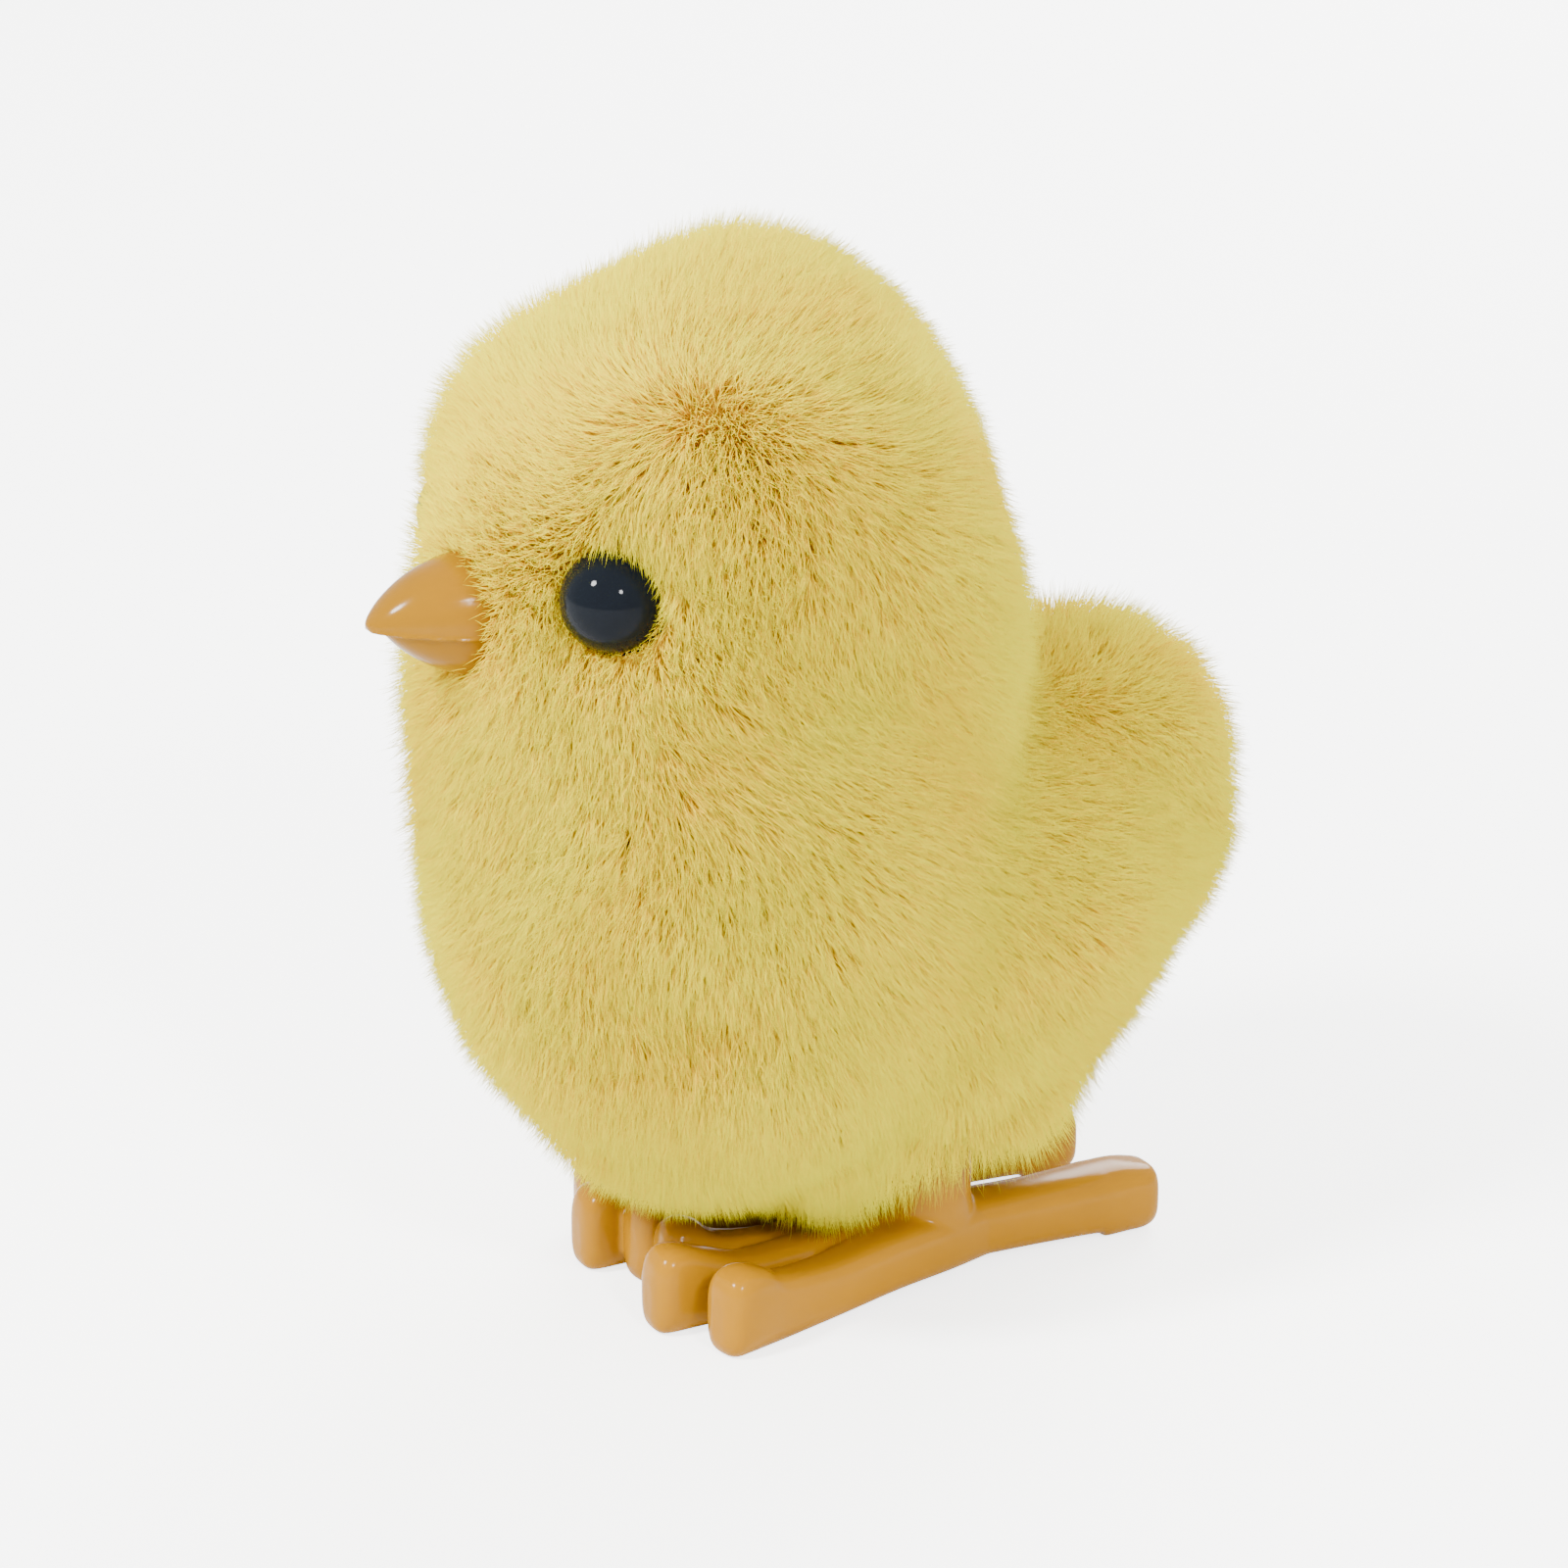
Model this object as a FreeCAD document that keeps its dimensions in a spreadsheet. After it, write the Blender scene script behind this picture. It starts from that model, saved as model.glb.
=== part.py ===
import FreeCAD, Part

# A wind-up hopping chick: a plush bird over a two-piece moulded shell, with a clockwork motor that
# carries both feet round a small crank circle, so that the body hops on them.
#
# Everything is modelled in the toy frame: the floor is z = 0, the bird faces -Y, its left side is +X,
# and x = y = 0 is midway between the two ankles. Each finished sub-part then gets the same Placement,
# which carries the toy frame to the row frame (origin at the bottom centre of the bounding box).

import Sketcher

import math
import os
import re

V = FreeCAD.Vector
ALONG_X = FreeCAD.Rotation(V(0, 0, 1), V(1, 0, 0))
SIDES = {"left": 1, "right": -1}

# ---------------------------------------------------------------- driving dimensions, millimetres
DIMS = {
    # plush and shell: each blob is an ellipsoid (centre y, z; half sizes x, y, z) of the plush surface
    "belly_y": -5.0, "belly_z": 30.0, "belly_a": 20.0, "belly_b": 29.0, "belly_c": 22.0,
    "chest_y": -16.4, "chest_z": 40.0, "chest_a": 23.7, "chest_b": 23.7, "chest_c": 32.0,
    "head_y": -16.4, "head_z": 57.0, "head_a": 23.7, "head_b": 23.7, "head_c": 31.0,
    "tail_y": 12.0, "tail_z": 35.5, "tail_a": 15.5, "tail_b": 18.0, "tail_c": 17.5,
    "plush_depth": 4.0, "cloth_gap": 0.2, "shell_wall": 1.4,
    "opening_x": 11.0, "opening_y": 7.9, "opening_top": 26.0,
    # shell bosses and their screws
    "boss_d": 5.2, "boss_screw_d": 2.0, "boss_head_d": 3.8, "boss_head_x": 3.0,
    "top_boss_y": -12.5, "top_boss_z": 78.0, "front_boss_y": -28.6, "front_boss_z": 24.0,
    "tail_boss_y": 19.0, "tail_boss_z": 37.0,
    # face
    "eye_d": 8.0, "eye_bearing": 41.9, "eye_lift": 12.0, "eye_reach": 20.3, "eye_z": 64.9,
    "eye_back_angle": 16.0, "eye_stem_d": 2.6, "eye_stem": 8.8, "eye_washer_d": 7.0, "eye_washer_t": 0.8,
    "beak_z": 60.2, "beak_back": 36.3, "beak_tip": 45.9, "beak_r": 5.3, "beak_lower_r": 4.4,
    "beak_lower_short": 1.5, "beak_stem_d": 3.0, "beak_stem": 7.0, "beak_washer_d": 8.0,
    # motor case
    "case_x": 5.6, "case_wall": 1.0, "case_front": -31.2, "case_low_front": -25.5, "case_back": -0.4,
    "case_low": 19.5, "case_step": 27.4, "case_high": 54.6,
    "ear_t": 1.0, "ear_r": 3.5, "top_ear_y": -20.5, "top_ear_z": 58.0,
    "back_ear_y": 3.3, "back_ear_z": 40.0, "mount_post_d": 5.0,
    "case_screw_d": 1.6, "case_post_d": 3.6,
    # train: winding arbor W, second arbor S, crank axle C (y, z)
    "gear_module": 0.5, "great_teeth": 36, "second_pinion_teeth": 9, "second_teeth": 36,
    "crank_pinion_teeth": 8,
    "crank_y": -11.9, "crank_z": 30.0, "wind_y": -11.3, "wind_z": 43.5,
    "arbor_d": 3.0, "arbor_square": 2.2, "arbor_end": 14.0, "journal_d": 2.0,
    "second_pin_d": 1.5, "axle_d": 2.0, "run_gap": 0.05,
    "spring_inner": 1.75, "spring_outer": 8.2, "spring_turns": 7, "spring_t": 0.3,
    "spring_x": -4.4, "spring_w": 3.2,
    "ratchet_teeth": 10, "ratchet_tip": 3.6, "ratchet_root": 2.7, "ratchet_x": -1.05, "ratchet_w": 0.9,
    "great_x": 0.0, "great_w": 1.5, "second_x": 1.8, "second_w": 1.4,
    "click_pivot_r": 6.3, "click_pin_d": 1.0,
    # cranks, legs and feet
    "crank_throw": 2.0, "disc_r": 3.7, "disc_x": 5.75, "disc_t": 1.1, "crank_pin_d": 2.4,
    "crank_pin": 2.6, "cap_d": 3.8, "cap_t": 0.8,
    "leg_x": 7.0, "leg_t": 1.6, "leg_half": 4.6, "leg_low": 13.6, "elbow_z": 23.6,
    "guide_y": -4.6, "guide_z": 24.85, "guide_d": 2.6, "window_r": 3.55,
    "ankle_x": 6.8, "post_d": 7.3, "post_top": 13.4, "spigot_d": 4.5, "spigot_low": 7.6,
    "shoulder_t": 1.5, "foot_screw_d": 2.0, "foot_head_d": 3.8, "foot_head_z": 4.4,
    "toe_front": -26.0, "heel_back": 21.9, "outer_toe": 6.7, "inner_toe": 4.6,
    # belly plate
    "plate_low": 16.8, "plate_t": 1.5, "slot_half": 7.0, "plate_screw_front": -7.0,
    "plate_screw_back": -2.4, "plate_screw_d": 1.6, "plate_head_d": 3.0,
    # knob
    "knob_x": 24.6, "knob_t": 7.5, "knob_d": 13.0, "knob_flutes": 10, "flute_d": 2.4,
    "stem_d": 5.4, "stem_near": 7.0,
}

doc = FreeCAD.newDocument("HoppingChick")
sheet = doc.addObject("Spreadsheet::Sheet", "Dims")
for row, (alias, value) in enumerate(DIMS.items(), start=1):
    sheet.set(f"A{row}", alias)
    sheet.set(f"B{row}", str(value))
    sheet.setAlias(f"B{row}", alias)
doc.recompute()


def dim(name):
    """One driving dimension, read back from the sheet."""
    return float(sheet.get(name))


def cells(text):
    """An expression over the sheet: every alias in it becomes Dims.alias."""
    return re.sub(r"[a-z_]+[a-z]", lambda m: "Dims." + m[0] if m[0] in DIMS else m[0], str(text))


def bind(obj, **sizes):
    for prop, text in sizes.items():
        obj.setExpression(prop, cells(text))
    return obj


def place(obj, x="0", y="0", z="0", turn=None):
    """Puts an object at sheet expressions, after an optional rotation."""
    if turn is not None:
        obj.Placement = FreeCAD.Placement(V(0, 0, 0), turn)
    for axis, text in zip("xyz", (x, y, z)):
        obj.setExpression("Placement.Base." + axis, cells(text))
    return obj


# ---------------------------------------------------------------- Part primitives and booleans
def box(name, dx, dy, dz, x, y, z):
    return place(bind(doc.addObject("Part::Box", name), Length=dx, Width=dy, Height=dz), x, y, z)


def rod(name, d, length, x, y, z, turn=ALONG_X):
    """A cylinder of diameter d from (x, y, z), along +X unless turned."""
    bar = bind(doc.addObject("Part::Cylinder", name), Radius=f"({d})/2", Height=length)
    return place(bar, x, y, z, turn)


def upright(name, d, length, x, y, z):
    return rod(name, d, length, x, y, z, FreeCAD.Rotation())


def fuse(name, *shapes):
    made = doc.addObject("Part::MultiFuse", name)
    made.Shapes = list(shapes)
    return made


def cut(name, base, *tools):
    made = doc.addObject("Part::Cut", name)
    made.Base = base
    made.Tool = tools[0] if len(tools) == 1 else fuse(name + "Tools", *tools)
    return made


def common(name, *shapes):
    made = doc.addObject("Part::MultiCommon", name)
    made.Shapes = list(shapes)
    return made


def group(name, *shapes):
    """Separate solids kept as one node."""
    made = doc.addObject("Part::Compound", name)
    made.Links = list(shapes)
    return made


def feature(name, shape):
    made = doc.addObject("Part::Feature", name)
    made.Shape = shape
    return made


SUBPARTS = []


def finish(obj, label):
    """Names a sub-part and carries it from the toy frame to the row frame."""
    if obj.TypeId in ("Part::Cylinder", "Part::Box"):
        obj = group(obj.Name + "Piece", obj)
    obj.Label = label
    place(obj, "(knob_x + knob_t - chest_a) / 2", "(beak_tip - tail_y - tail_b) / 2", "0")
    SUBPARTS.append(obj)
    return obj


# ---------------------------------------------------------------- plush cover and moulded shell
def blob(name, inset):
    """The bird's body, inset below the plush surface: belly, chest, head and tail ellipsoids."""
    parts = []
    for lump in ("belly", "chest", "head", "tail"):
        egg = doc.addObject("Part::Ellipsoid", name + lump.title())
        bind(egg, Radius2=f"{lump}_a - ({inset})", Radius3=f"{lump}_b - ({inset})", Radius1=f"{lump}_c - ({inset})")
        parts.append(place(egg, "0", f"{lump}_y", f"{lump}_z"))
    return fuse(name, *parts)


def belly_opening(name, extra="0"):
    return box(name, f"2*(opening_x + {extra})", f"2*(opening_y + {extra})", "opening_top",
               f"-opening_x - {extra}", f"-opening_y - {extra}", "0")


def eye_turn(side):
    """Rotation that carries +Z to the eye's outward axis."""
    bearing, lift = math.radians(dim("eye_bearing")), math.radians(dim("eye_lift"))
    out = V(side * math.sin(bearing) * math.cos(lift), -math.cos(bearing) * math.cos(lift), math.sin(lift))
    return FreeCAD.Rotation(V(0, 0, 1), out), out


def eye_point(side, along):
    """A point on the eye's axis: along is measured outward from the eye ball's centre."""
    _, out = eye_turn(side)
    bearing = math.radians(dim("eye_bearing"))
    centre = V(side * dim("eye_reach") * math.sin(bearing),
               dim("head_y") - dim("eye_reach") * math.cos(bearing), dim("eye_z"))
    return centre + out * along


def eye_bore(name, side, d, start, length):
    bar = bind(doc.addObject("Part::Cylinder", name), Radius=f"({d})/2", Height=length)
    bar.Placement = FreeCAD.Placement(eye_point(side, start), eye_turn(side)[0])
    return bar


def beak_bar(name, d, start, length):
    """A round bar along the beak's axis, from start behind the face towards the tip."""
    forward = FreeCAD.Rotation(V(0, 0, 1), V(0, -1, 0))
    return rod(name, d, length, "0", f"-({start})", "beak_z", forward)


BOSSES = ("top", "front", "tail")


def make_shells():
    plush = cut("PlushSolid", blob("PlushOuter", "0"), blob("PlushInner", "plush_depth"),
                belly_opening("PlushOpening"), beak_bar("PlushBeakHole", "2*beak_r + 0.6", "head_b", "50"),
                eye_bore("PlushEyeHoleLeft", 1, "eye_d + 0.5", -3.0, "20"),
                eye_bore("PlushEyeHoleRight", -1, "eye_d + 0.5", -3.0, "20"),
                rod("PlushKnobHole", "stem_d + 1.2", "30", "-40", "wind_y", "wind_z"))
    finish(plush, "fur_cover")
    outer = "plush_depth + cloth_gap"
    inner = outer + " + shell_wall"
    for side, sign in SIDES.items():
        tag = side.title()
        half = box("Half" + tag, "40", "120", "120", "0.02" if sign > 0 else "-40.02", "-70", "-10")
        wall = common("WallHalf" + tag, cut("Wall" + tag, blob("ShellOuter" + tag, outer),
                                            blob("ShellInner" + tag, inner)), half)
        posts = [rod(f"{b.title()}Boss{tag}", "boss_d", "30", "0.02" if sign > 0 else "-30.02", b + "_boss_y",
                     b + "_boss_z") for b in BOSSES]
        if sign > 0:
            posts += [rod(f"{e.title()}MountPost", "mount_post_d", "20", "case_x + 0.05", e + "_ear_y", e + "_ear_z")
                      for e in ("top", "back")]
        kept = common("PostsInside" + tag, fuse("Posts" + tag, *posts),
                      blob("PostLimit" + tag, outer + " + shell_wall / 2"))
        holes = [belly_opening("ShellOpening" + tag), beak_bar("ShellBeakHole" + tag, "beak_stem_d + 0.2", "15", "30"),
                 eye_bore("ShellEyeHole" + tag, sign, "eye_stem_d + 0.2", -12, "20")]
        for b in BOSSES:
            holes.append(rod(f"{b.title()}Pilot{tag}", "boss_screw_d + 0.1", "11", "-5", b + "_boss_y", b + "_boss_z"))
            if sign < 0:
                holes.append(rod(f"{b.title()}Sink", "boss_head_d + 0.4", "30", "-boss_head_x - 30",
                                 b + "_boss_y", b + "_boss_z"))
        if sign > 0:
            holes += [rod(f"{e.title()}MountPilot", "boss_screw_d + 0.1", "3.6", "case_x", e + "_ear_y", e + "_ear_z")
                      for e in ("top", "back")]
        else:
            holes.append(rod("ShellKnobHole", "stem_d + 0.8", "30", "-35", "wind_y", "wind_z"))
        whole = fuse("ShellWhole" + tag, wall, kept)
        finish(cut("ShellHalf" + tag, whole, *holes), "body_shell_" + side)


def screw_x(name, d, head_d, start, length, y, z, head_side):
    """A pan-head screw along X: its head is head_d wide on the head_side end of the shank."""
    shank = rod(name + "Shank", d, length, start, y, z)
    head_x = f"({start}) - 1.2" if head_side < 0 else f"({start}) + ({length})"
    head = rod(name + "Head", head_d, "1.2", head_x, y, z)
    return cut(name, fuse(name + "Blank", shank, head),
               box(name + "Drive", "0.6", f"({head_d}) * 0.7", "0.5",
                   f"({head_x}) - 0.001" if head_side < 0 else f"({head_x}) + 0.6", f"({y}) - ({head_d}) * 0.35",
                   f"({z}) - 0.25"))


def make_fasteners():
    finish(group("ShellScrews", *[screw_x(f"{b.title()}ShellScrew", "boss_screw_d", "boss_head_d", "-boss_head_x",
                                          "boss_head_x + 5", b + "_boss_y", b + "_boss_z", -1) for b in BOSSES]),
           "shell_screws")
    finish(group("MountScrews", *[screw_x(f"{e.title()}MountScrew", "boss_screw_d", "boss_head_d",
                                          "case_x - ear_t - 0.02", "4.5", e + "_ear_y", e + "_ear_z", -1)
                                  for e in ("top", "back")]), "motor_mount_screws")


# ---------------------------------------------------------------- eyes and beak
def make_face():
    for side, sign in SIDES.items():
        tag = side.title()
        dome = bind(doc.addObject("Part::Sphere", "EyeDome" + tag), Radius="eye_d / 2", Angle1="-eye_back_angle")
        dome.Placement = FreeCAD.Placement(eye_point(sign, 0), eye_turn(sign)[0])
        stem = eye_bore("EyeStem" + tag, sign, "eye_stem_d", -dim("eye_stem"), "eye_stem")
        finish(fuse("Eye" + tag, dome, stem), "eye_" + side)
        ring = cut("EyeRing" + tag, eye_bore("EyeRingBlank" + tag, sign, "eye_washer_d", -5.1, "eye_washer_t"),
                   eye_bore("EyeRingBore" + tag, sign, "eye_stem_d + 0.1", -10, "9"))
        finish(ring, "eye_washer_" + side)
    upper = beak_half("BeakUpper", dim("beak_r"), dim("beak_tip"), 1)
    lower = beak_half("BeakLower", dim("beak_lower_r"), dim("beak_tip") - dim("beak_lower_short"), -1)
    stem = beak_bar("BeakStem", "beak_stem_d", "beak_back - beak_stem", "beak_stem + 2")
    finish(fuse("Beak", upper, lower, stem), "beak")
    finish(cut("BeakWasher", beak_bar("BeakWasherBlank", "beak_washer_d", "beak_back - 4.4", "0.8"),
               beak_bar("BeakWasherBore", "beak_stem_d + 0.1", "beak_back - 6", "5")), "beak_washer")


def beak_half(name, radius, tip, sign):
    """Half of the beak: a blunt ogive turned through half a circle about the beak's axis."""
    back, mid = -dim("beak_back"), 0.45
    nose = 0.7
    length = tip - dim("beak_back")
    base, shoulder = V(0, back, radius), V(0, back - length * mid, radius * 0.72)
    brow, point = V(0, back - length + nose * 0.3, nose), V(0, back - length, 0)
    curve = Part.BSplineCurve()
    curve.interpolate([base, shoulder, brow])
    rim = [curve.toShape(), Part.makeLine(brow, point), Part.makeLine(point, V(0, back, 0)),
           Part.makeLine(V(0, back, 0), base)]
    half = Part.Face(Part.Wire(rim)).revolve(V(0, 0, 0), V(0, 1, 0), 180)
    half.rotate(V(0, 0, 0), V(0, 1, 0), -90 if sign > 0 else 90)
    half.translate(V(0, 0, dim("beak_z")))
    return feature(name, half)


# ---------------------------------------------------------------- motor case
def case_block(name, x, width, inset="0"):
    """The case outline, narrow at the foot and deep above it, from x over width."""
    low = box(name + "Low", width, f"case_back - case_low_front - 2*({inset})", "case_high - case_low - 8",
              x, f"case_low_front + ({inset})", f"case_low + ({inset})")
    high = box(name + "High", width, f"case_back - case_front - 2*({inset})",
               f"case_high - case_step - 2*({inset})", x, f"case_front + ({inset})", f"case_step + ({inset})")
    return fuse(name, low, high)


CASE_POSTS = (("case_low_front + 2.4", "case_low + 2.4"), ("case_front + 2.4", "case_high - 2.4"),
              ("case_back - 2.4", "case_high - 2.4"), ("case_back - 2.4", "case_low + 9"))
PLATE_SCREWS = ("plate_screw_front", "plate_screw_back")


def bearing_holes(tag, x, length):
    """Running holes for the three arbors, through a case wall."""
    return [rod("WindHole" + tag, "arbor_d + 2*run_gap" if tag == "Case" else "journal_d + 2*run_gap",
                length, x, "wind_y", "wind_z"),
            rod("SecondHole" + tag, "second_pin_d + 0.04", length, x, second_y(), second_z()),
            rod("CrankHole" + tag, "axle_d + 2*run_gap", length, x, "crank_y", "crank_z")]


def guide_stud(tag, sign):
    start = "case_x - 0.2" if sign > 0 else "-leg_x - leg_t - 0.6"
    return rod("GuideStud" + tag, "guide_d", "leg_x + leg_t + 0.8 - case_x", start, "guide_y", "guide_z")


def make_case():
    posts = [rod(f"CasePost{i}", "case_post_d", "2*case_x - 2*case_wall", "-case_x + case_wall", y, z)
             for i, (y, z) in enumerate(CASE_POSTS)]
    sockets = [box(f"PlateBoss{i}", "3.6", "3.6", "case_low + 3.4 - plate_low - plate_t", "-1.8", f"{y} - 1.8",
                   "plate_low + plate_t + 0.1")
               for i, y in enumerate(PLATE_SCREWS)]
    hollow = case_block("CaseHollow", "-case_x + case_wall", "2*case_x", "case_wall")
    tray = cut("CaseTray", case_block("CaseOutside", "-case_x", "2*case_x - case_wall - 0.02"), hollow)
    pilots = [rod(f"CasePilot{i}", "case_screw_d + 0.1", "7", "case_x - case_wall - 6.9", y, z)
              for i, (y, z) in enumerate(CASE_POSTS)]
    pilots += [upright(f"PlatePilot{i}", "plate_screw_d + 0.1", "5.5", "0", y, "plate_low") for i, y in
               enumerate(PLATE_SCREWS)]
    anchor = rod("SpringAnchor", "1.6", "spring_w + 0.4", "-case_x + case_wall - 0.2",
                 "wind_y - spring_outer - 0.4", "wind_z + 4.2")
    body = fuse("CaseBody", tray, anchor, guide_stud("Case", -1), *posts, *sockets)
    finish(cut("MotorCase", body, *pilots, *bearing_holes("Case", "-case_x - 1", "case_wall + 2")), "motor_case")

    lid = case_block("LidPlate", "case_x - case_wall", "case_wall")
    ears = [rod(f"{e.title()}Ear", "2*ear_r", "ear_t", "case_x - ear_t", e + "_ear_y", e + "_ear_z")
            for e in ("top", "back")]
    webs = [box("TopEarWeb", "ear_t", "2*ear_r", "top_ear_z - case_high + 2", "case_x - ear_t",
                "top_ear_y - ear_r", "case_high - 2"),
            box("BackEarWeb", "ear_t", "back_ear_y - case_back + 2", "2*ear_r", "case_x - ear_t",
                "case_back - 2", "back_ear_z - ear_r")]
    holes = [rod(f"LidHole{i}", "case_screw_d + 0.3", "4", "case_x - 3", y, z) for i, (y, z) in enumerate(CASE_POSTS)]
    holes += [rod(f"{e.title()}EarHole", "boss_screw_d + 0.3", "4", "case_x - 3", e + "_ear_y", e + "_ear_z")
              for e in ("top", "back")]
    cover = fuse("LidBody", lid, guide_stud("Lid", 1), *ears, *webs)
    finish(cut("MotorCover", cover, *holes, *bearing_holes("Lid", "case_x - case_wall - 1", "case_wall + 2")),
           "motor_cover")
    finish(group("CaseScrews", *[screw_x(f"CaseScrew{i}", "case_screw_d", "2.8", "case_x - case_wall - 5.4",
                                         "case_wall + 5.42", y, z, 1) for i, (y, z) in enumerate(CASE_POSTS)]),
           "case_screws")

    plate = box("PlateBlank", "2*opening_x - 0.6", "2*opening_y - 0.6", "plate_t", "-opening_x + 0.3",
                "-opening_y + 0.3", "plate_low")
    slots = [box("LegSlot" + side, "leg_t + 0.7", "2*slot_half", "4",
                 "leg_x - 0.35" if sign > 0 else "-leg_x - leg_t - 0.35", "-slot_half", "plate_low - 1")
             for side, sign in SIDES.items()]
    slots += [upright(f"PlateScrewHole{i}", "plate_screw_d + 0.3", "4", "0", y, "plate_low - 1")
              for i, y in enumerate(PLATE_SCREWS)]
    finish(cut("BellyPlate", plate, *slots), "belly_plate")
    screws = []
    for i, y in enumerate(PLATE_SCREWS):
        shank = upright(f"PlateShank{i}", "plate_screw_d", "plate_t + 3.4", "0", y, "plate_low - 0.02")
        head = upright(f"PlateHead{i}", "plate_head_d", "1", "0", y, "plate_low - 1.02")
        drive = box(f"PlateDrive{i}", "0.4", "2.2", "0.5", "-0.2", f"{y} - 1.1", "plate_low - 1.03")
        screws.append(cut(f"PlateScrew{i}", fuse(f"PlateScrewBlank{i}", shank, head), drive))
    finish(group("PlateScrews", *screws), "belly_plate_screws")


# ---------------------------------------------------------------- gear train
def mesh_distance(teeth_a, teeth_b):
    return dim("gear_module") * (dim(teeth_a) + dim(teeth_b)) / 2


def second_centre():
    """The second arbor stands at both mesh distances, on the front side of the line from W to C."""
    wind, crank = V(0, dim("wind_y"), dim("wind_z")), V(0, dim("crank_y"), dim("crank_z"))
    near, far = mesh_distance("great_teeth", "second_pinion_teeth"), mesh_distance("second_teeth", "crank_pinion_teeth")
    span = crank - wind
    length = span.Length
    along = (near ** 2 - far ** 2 + length ** 2) / (2 * length)
    across = math.sqrt(near ** 2 - along ** 2)
    unit = span / length
    return wind + unit * along + V(0, unit.z, -unit.y) * across


def second_y():
    return f"{second_centre().y:.6f}"


def second_z():
    return f"{second_centre().z:.6f}"


def gear(teeth, thick, x, y, z, phase, addendum, slack):
    """A spur gear about an axis along X. phase (degrees, from +Y towards +Z) is the middle of a tooth."""
    module, pressure = dim("gear_module"), math.radians(20)
    pitch = module * teeth / 2
    base, tip, root = pitch * math.cos(pressure), pitch + addendum * module, pitch - 1.15 * module
    inv = math.tan(pressure) - pressure
    half_pitch = math.pi / (2 * teeth) - slack / (2 * pitch)

    def half_angle(r):
        if r <= base:
            return half_pitch + inv
        a = math.acos(base / r)
        return half_pitch + inv - (math.tan(a) - a)

    flank = [root, max(base, root + 0.05), (max(base, root) + tip) / 2, tip]
    points = []
    for k in range(teeth):
        middle = math.radians(phase) + 2 * math.pi * k / teeth
        for sign, radii in ((-1, flank), (1, flank[::-1])):
            for r in radii:
                a = middle + sign * half_angle(r)
                points.append(V(x, y + r * math.cos(a), z + r * math.sin(a)))
    points.append(points[0])
    return Part.Face(Part.makePolygon(points)).extrude(V(thick, 0, 0))


def bearing_to(a, b):
    """Direction from a to b in the YZ plane, degrees from +Y towards +Z."""
    return math.degrees(math.atan2(b.z - a.z, b.y - a.y))


def ring_x(r, start, length, centre):
    return Part.makeCylinder(r, length, V(start, centre.y, centre.z), V(1, 0, 0))


WHEEL_ADDENDUM, PINION_ADDENDUM, WHEEL_SLACK, PINION_SLACK = 0.72, 0.8, 0.06, 0.10


def make_train():
    wind, crank, second = (V(0, dim("wind_y"), dim("wind_z")), V(0, dim("crank_y"), dim("crank_z")), second_centre())
    great_n, pinion_n = int(dim("great_teeth")), int(dim("second_pinion_teeth"))
    second_n, crank_n = int(dim("second_teeth")), int(dim("crank_pinion_teeth"))
    gap = dim("run_gap")
    # great wheel: a tooth on the line to the second arbor; recess-free web with three lightening holes
    great = gear(great_n, dim("great_w"), dim("great_x"), wind.y, wind.z, bearing_to(wind, second), WHEEL_ADDENDUM,
                 WHEEL_SLACK)
    great = great.cut(ring_x(dim("arbor_d") / 2 + gap, -1, 4, wind))
    pivot = click_pivot()
    great = great.cut(ring_x(dim("click_pin_d") / 2 + 0.02, -1, 4, pivot))
    for k in (1, 2, 3):
        hole = V(0, pivot.y, pivot.z)
        spun = FreeCAD.Placement(V(0, 0, 0), FreeCAD.Rotation(V(1, 0, 0), 90 * k), wind).multVec(hole)
        great = great.cut(ring_x(1.9, -1, 4, spun))
    finish(feature("GreatWheel", great), "great_wheel")
    # second wheel and its pinion are one moulding that turns on a fixed steel pin
    gap_phase = bearing_to(second, wind) + 180 / pinion_n
    pinion = gear(pinion_n, dim("great_w") + 0.45, dim("great_x") - 0.15, second.y, second.z, gap_phase,
                  PINION_ADDENDUM, PINION_SLACK)
    wheel = gear(second_n, dim("second_w"), dim("second_x"), second.y, second.z, bearing_to(second, crank),
                 WHEEL_ADDENDUM, WHEEL_SLACK)
    hub = ring_x(1.5, -dim("case_x") + dim("case_wall") + 0.15, 2 * (dim("case_x") - dim("case_wall")) - 0.3, second)
    moulding = wheel.fuse([pinion, hub]).cut(ring_x(dim("second_pin_d") / 2 + gap, -10, 20, second))
    for k in range(4):
        spot = second + V(0, math.cos(math.pi * (k / 2 + 0.25)), math.sin(math.pi * (k / 2 + 0.25))) * 5.4
        moulding = moulding.cut(ring_x(1.8, dim("second_x") - 1, 4, spot))
    finish(feature("SecondWheel", moulding.removeSplitter()), "second_wheel")
    finish(rod("SecondPin", "second_pin_d", "2*case_x - 0.2", "-case_x + 0.1", second_y(), second_z()), "second_arbor")
    # crank pinion
    gap_phase = bearing_to(crank, second) + 180 / crank_n
    last = gear(crank_n, dim("second_w") + 0.3, dim("second_x") - 0.1, crank.y, crank.z, gap_phase, PINION_ADDENDUM,
                PINION_SLACK)
    last = last.cut(ring_x(dim("axle_d") / 2 + 0.01, -1, 8, crank))
    finish(feature("CrankPinion", last), "crank_pinion")


def click_pivot():
    """The click turns on a rivet in the great wheel, straight behind the winding arbor."""
    return V(0, dim("wind_y") + dim("click_pivot_r"), dim("wind_z"))


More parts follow.
